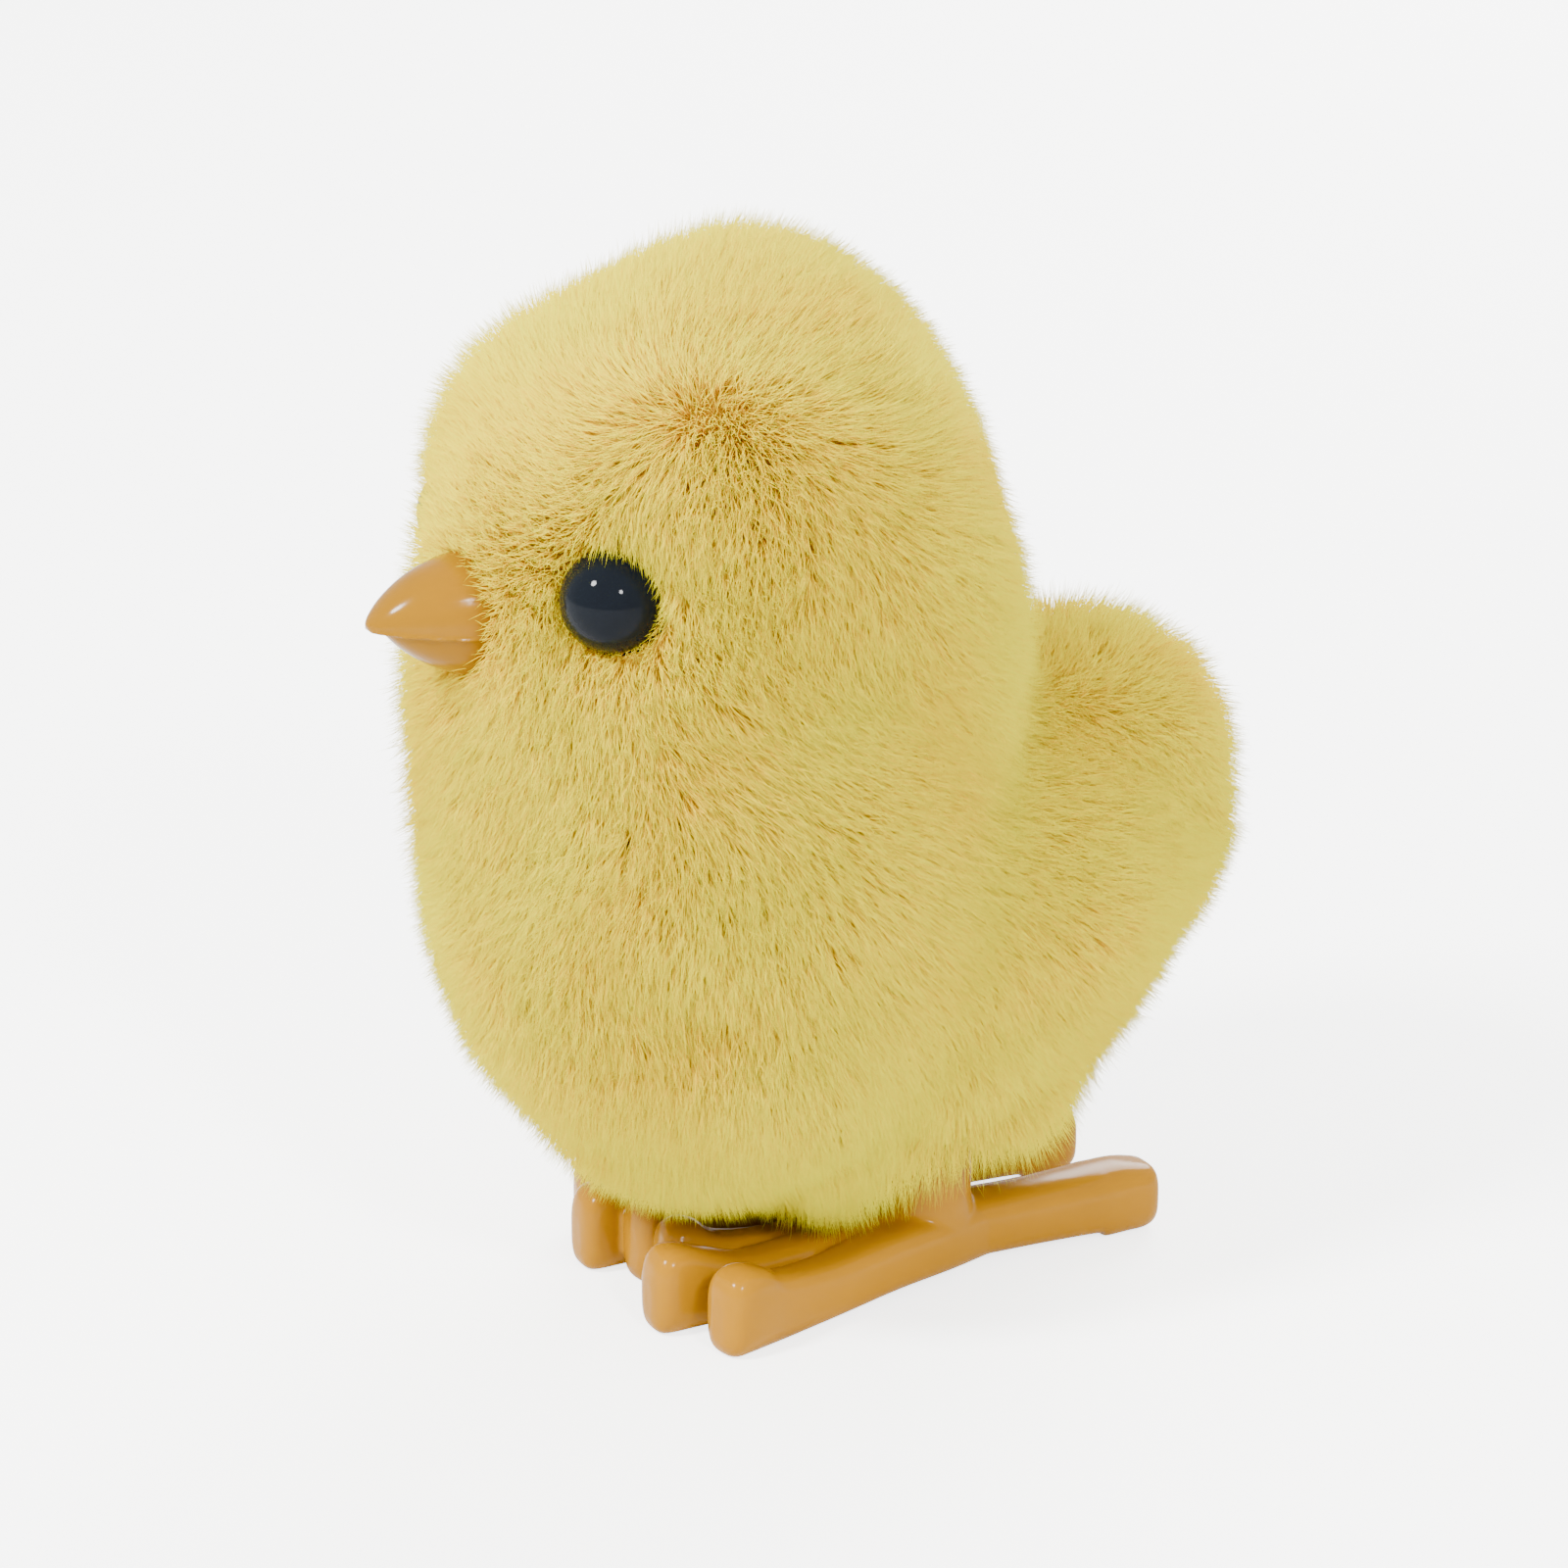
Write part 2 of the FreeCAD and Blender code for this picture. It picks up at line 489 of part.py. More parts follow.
def make_ratchet():
    wind, pivot = V(0, dim("wind_y"), dim("wind_z")), click_pivot()
    n, tip, root = int(dim("ratchet_teeth")), dim("ratchet_tip"), dim("ratchet_root")
    points = []
    for k in range(n):
        a = 2 * math.pi * k / n
        for r, turn in ((root, a), (tip, a + 0.05)):
            points.append(V(dim("ratchet_x"), wind.y + r * math.cos(turn), wind.z + r * math.sin(turn)))
    points.append(points[0])
    wheel = Part.Face(Part.makePolygon(points)).extrude(V(dim("ratchet_w"), 0, 0))
    wheel = wheel.cut(ring_x(dim("arbor_d") / 2 + 0.01, -2, 4, wind))
    finish(feature("RatchetWheel", wheel), "ratchet_wheel")
    # click: a pivoted finger whose nose stands just clear of the ratchet's tooth tips
    nose_at, nose_r = math.radians(48), tip + 0.1
    nose = wind + V(0, math.cos(nose_at), math.sin(nose_at)) * (nose_r + 0.45)
    x, thick = dim("ratchet_x"), dim("ratchet_w") - 0.05
    arm = nose - pivot
    side = V(0, -arm.z, arm.y) / arm.Length
    finger = Part.Face(Part.makePolygon([pivot + side * 0.9, nose + side * 0.4, nose - side * 0.4, pivot - side * 0.9,
                                         pivot + side * 0.9])).extrude(V(thick, 0, 0))
    finger.translate(V(x, 0, 0))
    click = finger.fuse([ring_x(1.15, x, thick, pivot), ring_x(0.42, x, thick, nose)])
    click = click.cut(ring_x(dim("click_pin_d") / 2 + dim("run_gap"), -3, 6, pivot))
    finish(feature("Click", click.removeSplitter()), "click_pawl")
    finish(rod("ClickPin", "click_pin_d", "great_w - ratchet_x - 0.1", "ratchet_x", str(pivot.y), str(pivot.z)),
           "click_rivet")


def make_mainspring():
    """A flat spiral strip from the arbor out to the anchor post on the case."""
    wind, turns, half = V(0, dim("wind_y"), dim("wind_z")), dim("spring_turns"), dim("spring_t") / 2
    inner, outer = dim("spring_inner"), dim("spring_outer")

    def at(t, shift):
        r = inner + half + (outer - inner - 2 * half) * t + shift
        a = 2 * math.pi * turns * t + math.radians(150)
        return V(dim("spring_x"), wind.y + r * math.cos(a), wind.z + r * math.sin(a))

    steps = int(turns * 14)
    outside, inside = Part.BSplineCurve(), Part.BSplineCurve()
    outside.interpolate([at(k / steps, half) for k in range(steps + 1)])
    inside.interpolate([at(k / steps, -half) for k in range(steps + 1)])
    rim = [outside.toShape(), Part.makeLine(at(1, half), at(1, -half)), inside.toShape(),
           Part.makeLine(at(0, -half), at(0, half))]
    strip = Part.Face(Part.Wire(Part.__sortEdges__(rim))).extrude(V(dim("spring_w"), 0, 0))
    finish(feature("Mainspring", strip), "mainspring")


def make_winding():
    shaft = rod("ArborShaft", "arbor_d", "case_x - case_wall - 0.1 + case_x + 1", "-case_x - 1", "wind_y", "wind_z")
    journal = rod("ArborJournal", "journal_d", "case_wall + 0.2", "case_x - case_wall - 0.2", "wind_y", "wind_z")
    square = box("ArborSquare", "arbor_end - case_x", "arbor_square", "arbor_square", "-arbor_end",
                 "wind_y - arbor_square / 2", "wind_z - arbor_square / 2")
    finish(fuse("Arbor", shaft, journal, square), "winding_arbor")


# ---------------------------------------------------------------- PartDesign helpers
def plane(body, role):
    return next(f for f in body.Origin.OriginFeatures if f.Role == role)


def sketch_on(body, name, role, offset):
    sketch = body.newObject("Sketcher::SketchObject", name)
    sketch.AttachmentSupport = (plane(body, role), [""])
    sketch.MapMode = "FlatFace"
    sketch.setExpression("AttachmentOffset.Base.z", cells(offset))
    return sketch


def circle(sketch, radius, up="0"):
    """A circle whose radius, and height above the sketch's origin, follow the sheet."""
    i = sketch.addGeometry(Part.Circle(V(0, 1, 0), V(0, 0, 1), 2))
    wide = sketch.addConstraint(Sketcher.Constraint("Radius", i, 2))
    sketch.addConstraint(Sketcher.Constraint("PointOnObject", i, 3, -2))
    if up == "0":
        sketch.addConstraint(Sketcher.Constraint("PointOnObject", i, 3, -1))
    else:
        high = sketch.addConstraint(Sketcher.Constraint("DistanceY", -1, 1, i, 3, 1))
        sketch.setExpression(f"Constraints[{high}]", cells(up))
    sketch.setExpression(f"Constraints[{wide}]", cells(radius))


def pad(body, name, sketch, length):
    made = body.newObject("PartDesign::Pad", name)
    made.Profile = sketch
    return bind(made, Length=length)


def pocket(body, name, sketch, length, backwards=False):
    made = body.newObject("PartDesign::Pocket", name)
    made.Profile = sketch
    made.Reversed = backwards
    return bind(made, Length=length)


def make_knob():
    """The winding knob: a fluted disc on a long stem with a square socket, on the bird's right side."""
    body = doc.addObject("PartDesign::Body", "Knob")
    disc = sketch_on(body, "KnobDisc", "XY_Plane", "0")
    circle(disc, "knob_d / 2")
    round_disc = pad(body, "KnobPad", disc, "knob_t")
    doc.recompute()
    rim = [f"Edge{i}" for i, e in enumerate(round_disc.Shape.Edges, 1) if e.BoundBox.ZMax < 1e-3]
    edge = body.newObject("PartDesign::Chamfer", "KnobEdge")
    edge.Base = (round_disc, rim)
    edge.Size = 0.7
    body.Tip = edge
    doc.recompute()
    before = body.Shape.Volume
    flute = sketch_on(body, "FluteCircle", "XY_Plane", "0")
    circle(flute, "flute_d / 2", "knob_d / 2 + 0.4")
    groove = pocket(body, "Flute", flute, "knob_t", backwards=True)
    doc.recompute()
    if body.Shape.Volume >= before - 1e-6:
        raise RuntimeError("the knob's flute cuts nothing")
    flutes = body.newObject("PartDesign::PolarPattern", "Flutes")
    flutes.Originals = [groove]
    flutes.Axis = (next(f for f in body.Origin.OriginFeatures if f.Role == "Z_Axis"), [""])
    flutes.Angle = 360
    bind(flutes, Occurrences="knob_flutes")
    body.Tip = flutes
    doc.recompute()
    stem = sketch_on(body, "KnobStem", "XY_Plane", "knob_t - 0.5")
    circle(stem, "stem_d / 2")
    pad(body, "StemPad", stem, "knob_x - stem_near + 0.5")
    doc.recompute()
    place(body, "-knob_x - knob_t", "wind_y", "wind_z", ALONG_X)
    socket = box("KnobSocket", "arbor_end - stem_near + 0.5", "arbor_square + 0.1", "arbor_square + 0.1",
                 "-arbor_end - 0.3", "wind_y - arbor_square / 2 - 0.05", "wind_z - arbor_square / 2 - 0.05")
    finish(cut("WindingKnob", body, socket), "winding_knob")


def make_leg(side, sign):
    """A leg: a plate with the crank-pin hole and guide window, on a shoulder and spigot for the foot."""
    tag = side.title()
    x = "leg_x" if sign > 0 else "-leg_x - leg_t"
    pin_z = "crank_z + crank_throw"
    low = "leg_low + shoulder_t - 0.5"
    blade = box("LegBlade" + tag, "leg_t", "2*leg_half", f"elbow_z - ({low})", x, "-leg_half", low)
    elbow = rod("LegElbow" + tag, "2*leg_half", "leg_t", x, "0", "elbow_z")
    top = rod("LegTop" + tag, "2*leg_half", "leg_t", x, "crank_y", pin_z)
    run = V(0, dim("crank_y"), dim("crank_z") + dim("crank_throw") - dim("elbow_z"))
    bar = bind(doc.addObject("Part::Box", "LegBar" + tag), Length="leg_t", Width="2*leg_half",
               Height="sqrt(crank_y^2 + (crank_z + crank_throw - elbow_z)^2)")
    lean = FreeCAD.Rotation(V(0, 0, 1), run)
    bar.Placement = FreeCAD.Placement(V(dim("leg_x") if sign > 0 else -dim("leg_x") - dim("leg_t"), 0, dim("elbow_z"))
                                      - lean.multVec(V(0, dim("leg_half"), 0)), lean)
    shoulder = upright("LegShoulder" + tag, "post_d - 0.3", "shoulder_t", f"{sign}*ankle_x", "0", "leg_low")
    spigot = upright("LegSpigot" + tag, "spigot_d", "leg_low - spigot_low + 0.1", f"{sign}*ankle_x", "0", "spigot_low")
    opening = rod("LegWindow" + tag, "2*window_r", "leg_t + 2", f"{x} - 1", "guide_y", "guide_z + crank_throw")
    hole = rod("LegPinHole" + tag, "crank_pin_d + 2*run_gap", "leg_t + 2", f"{x} - 1", "crank_y", pin_z)
    pilot = upright("LegPilot" + tag, "foot_screw_d + 0.1", "7", f"{sign}*ankle_x", "0", "spigot_low - 1")
    finish(cut("Leg" + tag, fuse("LegBlank" + tag, blade, elbow, bar, top, shoulder, spigot), opening, hole, pilot),
           "leg_" + side)


def make_cranks():
    finish(rod("CrankAxle", "axle_d", "2*(disc_x + disc_t) - 0.1", "-disc_x - disc_t + 0.05", "crank_y", "crank_z"),
           "crank_axle")
    caps = []
    for side, sign in SIDES.items():
        tag = side.title()
        pin_z = "crank_z + crank_throw"
        disc = rod("CrankPlate" + tag, "2*disc_r", "disc_t", "disc_x" if sign > 0 else "-disc_x - disc_t", "crank_y",
                   "crank_z")
        pin = rod("CrankPin" + tag, "crank_pin_d", "crank_pin + 0.2",
                  "disc_x + disc_t - 0.2" if sign > 0 else "-disc_x - disc_t - crank_pin", "crank_y", pin_z)
        bore = rod("CrankBore" + tag, "axle_d + 0.02", "6", "disc_x - 1" if sign > 0 else "-disc_x - 5", "crank_y",
                   "crank_z")
        finish(cut("Crank" + tag, fuse("CrankBlank" + tag, disc, pin), bore), "crank_disc_" + side)
        start = "leg_x + leg_t + 0.1"
        ring = rod("CapRing" + tag, "cap_d", "cap_t", start if sign > 0 else f"-({start}) - cap_t", "crank_y", pin_z)
        caps.append(cut("Cap" + tag, ring, rod("CapBore" + tag, "crank_pin_d + 0.04", "40", "-20", "crank_y", pin_z)))
    finish(group("CrankCaps", *caps), "crank_pin_caps")


# ---------------------------------------------------------------- feet
def slice_wire(centre, across, width, low, high, power=2.6, count=20):
    """A closed superellipse section standing across a toe, from z = low to z = high."""
    points = []
    for k in range(count):
        a = 2 * math.pi * k / count
        u = math.copysign(abs(math.cos(a)) ** (2 / power), math.cos(a)) * width / 2
        w = math.copysign(abs(math.sin(a)) ** (2 / power), math.sin(a)) * (high - low) / 2
        points.append(centre + across * u + V(0, 0, (high + low) / 2 + w))
    curve = Part.BSplineCurve()
    curve.interpolate(points, PeriodicFlag=True)
    return Part.Wire(curve.toShape())


def toe(start, end, sections):
    """A smooth solid from start to end on the floor plane. sections: (share of the way, width, low, high)."""
    run = end - start
    across = V(-run.y, run.x, 0) / run.Length
    return Part.makeLoft([slice_wire(start + run * t, across, w, lo, hi) for t, w, lo, hi in sections], True, True)


SOLE = -0.35
TOE_TIP = ((0.80, 3.9, SOLE, 6.2), (0.90, 4.5, SOLE, 7.2), (0.955, 4.3, SOLE, 7.1), (0.985, 3.2, 0.3, 6.2),
           (1.0, 1.4, 1.6, 4.8))
SIDE_TOE = ((0.0, 4.2, 2.2, 5.6), (0.3, 3.9, 2.0, 5.6), (0.55, 3.7, 0.9, 5.5), (0.68, 3.6, 0.1, 5.6)) + TOE_TIP
MAIN_TOE = ((0.0, 1.6, 1.4, 3.9), (0.012, 3.4, 0.3, 5.2), (0.04, 4.7, SOLE, 5.8), (0.10, 5.2, SOLE, 5.9),
            (0.13, 5.2, 0.6, 5.7), (0.25, 5.0, 1.5, 5.3), (0.42, 5.4, 2.2, 5.6), (0.56, 5.2, 2.2, 5.8),
            (0.70, 4.2, 1.4, 5.6), (0.82, 3.7, 0.1, 5.6), (0.90, 4.0, SOLE, 6.4), (0.95, 4.6, SOLE, 7.3),
            (0.978, 4.4, SOLE, 7.2), (0.992, 3.2, 0.3, 6.3), (1.0, 1.4, 1.6, 4.8))


def make_foot(side, sign):
    """A moulded foot: three toes and a heel spur round an ankle socket, hollow for its screw."""
    ankle = V(sign * dim("ankle_x"), 0, 0)
    front, heel = dim("toe_front"), dim("heel_back")
    root = ankle + V(0, 1.0, 0)
    main = toe(ankle + V(0, heel, 0), ankle + V(0, front, 0), MAIN_TOE)
    outer = toe(root + V(0.3 * sign, 0, 0), ankle + V(sign * dim("outer_toe"), front + 3.0, 0), SIDE_TOE)
    inner = toe(root - V(0.3 * sign, 0, 0), ankle + V(-sign * dim("inner_toe"), front + 3.0, 0), SIDE_TOE)
    post = Part.makeCylinder(dim("post_d") / 2, dim("post_top") - 3, ankle + V(0, 0, 3))
    flare = Part.makeCone(dim("post_d") / 2 + 1.1, dim("post_d") / 2, 3.2, ankle + V(0, 0, 4.0))
    solid = main.fuse([outer, inner, post, flare])
    under = Part.makeBox(60, 80, 5, V(-30, -40, -5))
    socket = Part.makeCylinder(dim("spigot_d") / 2 + 0.08, 20, ankle + V(0, 0, dim("spigot_low") - 0.1))
    screw = Part.makeCylinder(dim("foot_screw_d") / 2 + 0.15, 20, ankle + V(0, 0, -1))
    sink = Part.makeCylinder(dim("foot_head_d") / 2 + 0.2, dim("foot_head_z") + 1, ankle + V(0, 0, -1))
    solid = solid.cut([under, socket, screw, sink])
    finish(feature("Foot" + side.title(), solid), "foot_" + side)
    shank = upright("FootShank" + side, "foot_screw_d", "9", f"{sign}*ankle_x", "0", "foot_head_z - 0.02")
    head = upright("FootHead" + side, "foot_head_d", "1.3", f"{sign}*ankle_x", "0", "foot_head_z - 1.32")
    drive = box("FootDrive" + side, "0.5", "2.6", "0.6", f"{sign}*ankle_x - 0.25", "-1.3", "foot_head_z - 1.33")
    finish(cut("FootScrew" + side, fuse("FootScrewBlank" + side, shank, head), drive), "foot_screw_" + side)


# ---------------------------------------------------------------- build, check and write
def main():
    make_shells()
    make_fasteners()
    make_face()
    make_case()
    make_train()
    make_ratchet()
    make_mainspring()
    make_winding()
    make_knob()
    make_cranks()
    for side, sign in SIDES.items():
        make_leg(side, sign)
        make_foot(side, sign)
    doc.recompute()
    failed = [o.Name for o in doc.Objects if {"Invalid", "Error"} & set(o.State)]
    if failed:
        raise RuntimeError(f"failed objects: {failed}")
    for part in SUBPARTS:
        if part.Shape.isNull() or not part.Shape.isValid() or not part.Shape.Solids:
            raise RuntimeError(f"{part.Label} has no valid solid")
    os.makedirs("parts", exist_ok=True)
    for part in SUBPARTS:
        part.Shape.exportStep(f"parts/{part.Label}.step")
        print(part.Label, len(part.Shape.Solids), round(part.Shape.Volume, 1))


main()
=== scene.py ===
"""Looks for the wind-up hopping chicken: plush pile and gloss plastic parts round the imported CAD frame."""
import math

import bmesh
import bpy
import numpy as np
from mathutils import Matrix, Vector
from mathutils.kdtree import KDTree


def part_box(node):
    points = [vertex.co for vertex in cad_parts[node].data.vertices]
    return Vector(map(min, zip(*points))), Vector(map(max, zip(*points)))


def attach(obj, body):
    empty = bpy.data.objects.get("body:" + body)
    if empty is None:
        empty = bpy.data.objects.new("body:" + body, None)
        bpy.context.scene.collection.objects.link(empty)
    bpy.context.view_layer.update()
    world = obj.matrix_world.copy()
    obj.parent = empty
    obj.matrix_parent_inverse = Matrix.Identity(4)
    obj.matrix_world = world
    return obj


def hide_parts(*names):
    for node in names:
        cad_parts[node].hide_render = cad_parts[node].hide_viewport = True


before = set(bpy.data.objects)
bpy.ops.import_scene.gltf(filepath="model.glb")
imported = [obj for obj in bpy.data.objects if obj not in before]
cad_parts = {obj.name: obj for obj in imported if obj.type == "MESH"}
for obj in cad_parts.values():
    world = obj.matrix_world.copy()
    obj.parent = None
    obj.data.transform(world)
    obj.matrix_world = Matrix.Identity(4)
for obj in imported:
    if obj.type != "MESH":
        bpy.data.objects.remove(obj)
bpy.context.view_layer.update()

MM = 0.001


def mid(node, axis):
    """Middle of a CAD node's box along one axis, in row-frame millimetres."""
    low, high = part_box(node)
    return (low[axis] + high[axis]) / 2 / MM


# The toy frame, in mm: floor z = 0, mid-plane x = 0, ankles at y = 0. ORIGIN carries it to the row frame.
ORIGIN = np.array([(mid("foot_screw_left", 0) + mid("foot_screw_right", 0)) / 2,
                   mid("foot_screw_left", 1), 0.0])


def row(points):
    """Toy-frame millimetres to row-frame metres."""
    return (np.asarray(points, float) + ORIGIN) * MM


def toy(points):
    """Row-frame metres to toy-frame millimetres."""
    return points / MM - ORIGIN


def unit(v):
    return v / np.maximum(np.linalg.norm(v, axis=-1, keepdims=True), 1e-9)


def circle_angles(count):
    return np.linspace(0, 2 * math.pi, count, endpoint=False)


def noise_field(points, scale, seed, waves=10):
    """Smooth noise, mostly in -1..1, at points (n, 3): sine waves about scale mm from crest to trough."""
    rng = np.random.default_rng(seed)
    total = np.zeros(len(points))
    for _ in range(waves):
        wave = rng.normal(size=3)
        wave *= rng.uniform(0.7, 1.5) * math.pi / scale / np.linalg.norm(wave)
        total += np.sin(points @ wave + rng.uniform(0, 2 * math.pi))
    return total / math.sqrt(waves)


# ---------------------------------------------------------------- materials
def new_material(name):
    m = bpy.data.materials.new(name)
    m.use_nodes = True
    tree = m.node_tree
    return m, tree, tree.nodes["Principled BSDF"]


def node(tree, kind, **values):
    """A new node; each value goes to the input of that name, or else to the property."""
    made = tree.nodes.new(kind)
    for key, value in values.items():
        if key in made.inputs:
            made.inputs[key].default_value = value
        else:
            setattr(made, key, value)
    return made


def set_inputs(shader, **values):
    """Sets shader inputs; an underscore in a keyword stands for a space in the input's name."""
    for key, value in values.items():
        shader.inputs[key.replace("_", " ")].default_value = value


def ramp(tree, source, stops):
    made = tree.nodes.new("ShaderNodeValToRGB")
    elements = made.color_ramp.elements
    while len(elements) < len(stops):
        elements.new(0.5)
    for element, (at, colour) in zip(elements, stops):
        element.position = at
        element.color = (*colour, 1)
    tree.links.new(source, made.inputs["Fac"])
    return made.outputs["Color"]


def noise_node(tree, scale, detail=3.0, rough=0.5):
    """Noise over the object's own coordinates; scale is about the number of cells in a metre."""
    coords = tree.nodes.new("ShaderNodeTexCoord")
    made = node(tree, "ShaderNodeTexNoise", Scale=scale, Detail=detail, Roughness=rough)
    tree.links.new(coords.outputs["Object"], made.inputs["Vector"])
    return made.outputs["Fac"]


def bump(tree, shader, source, strength, distance):
    made = node(tree, "ShaderNodeBump", Strength=strength, Distance=distance)
    tree.links.new(source, made.inputs["Height"])
    tree.links.new(made.outputs["Normal"], shader.inputs["Normal"])


def plastic(name, dark, light, roughness, coat=0.0, depth=0.0, gloss=0.5):
    """Moulded plastic: faint colour drift, slightly uneven gloss and a faint moulded waviness.
    depth is the share of light that scatters under the surface."""
    m, tree, shader = new_material(name)
    drift = ramp(tree, noise_node(tree, 90, 4), [(0.35, dark), (0.65, light)])
    tree.links.new(drift, shader.inputs["Base Color"])
    spread = node(tree, "ShaderNodeMapRange")
    tree.links.new(noise_node(tree, 260, 5), spread.inputs["Value"])
    set_inputs(spread, To_Min=roughness * 0.8, To_Max=roughness * 1.3)
    tree.links.new(spread.outputs["Result"], shader.inputs["Roughness"])
    set_inputs(shader, Specular_IOR_Level=gloss, Coat_Weight=coat, Coat_Roughness=0.04)
    set_inputs(shader, Subsurface_Weight=depth, Subsurface_Radius=(1.0, 0.45, 0.12), Subsurface_Scale=0.0012)
    bump(tree, shader, noise_node(tree, 140, 2), 0.02, 0.0006)
    return m


def metal(name, colour, roughness):
    """Turned or plated metal, mottled a little in colour and height."""
    m, tree, shader = new_material(name)
    dark = tuple(c * 0.8 for c in colour)
    mottle = noise_node(tree, 700, 6, 0.7)
    tree.links.new(ramp(tree, mottle, [(0.3, dark), (0.7, colour)]), shader.inputs["Base Color"])
    set_inputs(shader, Metallic=1.0, Roughness=roughness)
    bump(tree, shader, mottle, 0.15, 0.0001)
    return m


ROOT_GOLD, DEEP_GOLD = (0.99, 0.64, 0.001), (0.99, 0.75, 0.002)
LEMON, PALE_TIP = (0.99, 0.86, 0.003), (0.97, 0.94, 0.025)


def pile_material():
    """Plush fibre: golden root, lemon length, pale tip, half of its light passing through.
    The mesh attribute "along" says how far from root to tip a point is."""
    m, tree, shader = new_material("plush_pile")
    along = node(tree, "ShaderNodeAttribute", attribute_name="along")
    stops = [(0.0, ROOT_GOLD), (0.32, DEEP_GOLD), (0.70, LEMON), (1.0, PALE_TIP)]
    colour = ramp(tree, along.outputs["Fac"], stops)
    tree.links.new(colour, shader.inputs["Base Color"])
    set_inputs(shader, Roughness=0.62, Specular_IOR_Level=0.06)
    glow = node(tree, "ShaderNodeBsdfTranslucent")
    tree.links.new(colour, glow.inputs["Color"])
    mix = node(tree, "ShaderNodeMixShader", Fac=0.5)
    tree.links.new(shader.outputs["BSDF"], mix.inputs[1])
    tree.links.new(glow.outputs["BSDF"], mix.inputs[2])
    tree.links.new(mix.outputs["Shader"], tree.nodes["Material Output"].inputs["Surface"])
    return m


def backing_material():
    """The knitted backing the pile stands on."""
    m, tree, shader = new_material("plush_backing")
    mottle = ramp(tree, noise_node(tree, 500, 4), [(0.3, ROOT_GOLD), (0.7, DEEP_GOLD)])
    tree.links.new(mottle, shader.inputs["Base Color"])
    set_inputs(shader, Roughness=0.9, Sheen_Weight=0.3)
    bump(tree, shader, noise_node(tree, 900, 5), 0.5, 0.0003)
    return m


MATERIALS = {
    "pile": pile_material(),
    "backing": backing_material(),
    "beak": plastic("beak_plastic", (0.21, 0.093, 0.0001), (0.235, 0.104, 0.0002), 0.15, gloss=0.12),
    "foot": plastic("foot_plastic", (0.28, 0.122, 0.0001), (0.31, 0.134, 0.0002), 0.16, gloss=0.12),
    "eye": plastic("eye_plastic", (0.003, 0.004, 0.006), (0.004, 0.006, 0.009), 0.05, gloss=0.07),
    "knob": plastic("knob_plastic", (0.60, 0.59, 0.55), (0.66, 0.65, 0.61), 0.25, coat=0.3, depth=0.2),
    "shell": plastic("shell_moulding", (0.78, 0.73, 0.58), (0.84, 0.80, 0.66), 0.45),
    "case": plastic("case_moulding", (0.60, 0.61, 0.63), (0.68, 0.69, 0.70), 0.4),
    "gear": plastic("gear_acetal", (0.86, 0.86, 0.82), (0.91, 0.91, 0.88), 0.35, coat=0.1, depth=0.2),
    "steel": metal("plated_steel", (0.62, 0.63, 0.65), 0.28),
    "brass": metal("turned_brass", (0.78, 0.62, 0.30), 0.25),
}
CAD_FINISH = {
    "shell": ["body_shell_left", "body_shell_right", "belly_plate"],
    "case": ["motor_case", "motor_cover"],
    "gear": ["great_wheel", "second_wheel", "crank_disc_left", "crank_disc_right", "crank_pin_caps"],
    "brass": ["crank_pinion", "click_rivet"],
    "steel": ["shell_screws", "motor_mount_screws", "eye_washer_left", "eye_washer_right", "beak_washer",
              "case_screws", "belly_plate_screws", "second_arbor", "ratchet_wheel", "click_pawl",
              "mainspring", "winding_arbor", "crank_axle", "foot_screw_left", "foot_screw_right"],
    "foot": ["leg_left", "leg_right"],
    "knob": ["winding_knob"],
}


def set_material(obj, name):
    obj.data.materials.clear()
    obj.data.materials.append(MATERIALS[name])


def finish_cad_nodes():
    """The CAD nodes that stay as they are get their materials."""
    for finish, names in CAD_FINISH.items():
        for name in names:
            set_material(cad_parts[name], finish)


# ---------------------------------------------------------------- mesh helpers
def link(name, data):
    obj = bpy.data.objects.new(name, data)
    bpy.context.scene.collection.objects.link(obj)
    return obj


def mesh_object(name, points, faces):
    """A smooth-shaded mesh from points in toy-frame millimetres."""
    mesh = bpy.data.meshes.new(name)
    mesh.from_pydata([tuple(p) for p in row(points)], [], [tuple(f) for f in faces])
    mesh.update()
    mesh.polygons.foreach_set("use_smooth", [True] * len(mesh.polygons))
    return link(name, mesh)


def lofted(rings):
    """Points and faces of a closed body through rings (n, k, 3), capped at both ends."""
    count, size = len(rings), len(rings[0])
    points = np.vstack([np.vstack(rings), rings[0].mean(0), rings[-1].mean(0)])
    first, last = count * size, count * size + 1
    faces = []
    for i in range(count - 1):
        for j in range(size):
            k = (j + 1) % size
            faces.append((i * size + j, i * size + k, (i + 1) * size + k, (i + 1) * size + j))
    for j in range(size):
        k = (j + 1) % size
        faces.append((first, k, j))
        faces.append((last, (count - 1) * size + j, (count - 1) * size + k))
    return points, faces


def spline(knots, count):
    """Catmull-Rom through the rows of knots, count samples."""
    knots = np.asarray(knots, float)
    ends = np.vstack([2 * knots[0] - knots[1], knots, 2 * knots[-1] - knots[-2]])
    out = []
    for s in np.linspace(0, len(knots) - 1 - 1e-9, count):
        i, t = int(s), s - int(s)
        a, b, c, d = ends[i:i + 4]
        out.append(0.5 * (2 * b + (c - a) * t + (2 * a - 5 * b + 4 * c - d) * t ** 2
                          + (3 * b - a - 3 * c + d) * t ** 3))
    return np.array(out)


def rounded_box(angles, power):
    """Unit superellipse: a circle at power 2, squarer above it."""
    c, s = np.cos(angles), np.sin(angles)
    return np.sign(c) * np.abs(c) ** (2 / power), np.sign(s) * np.abs(s) ** (2 / power)


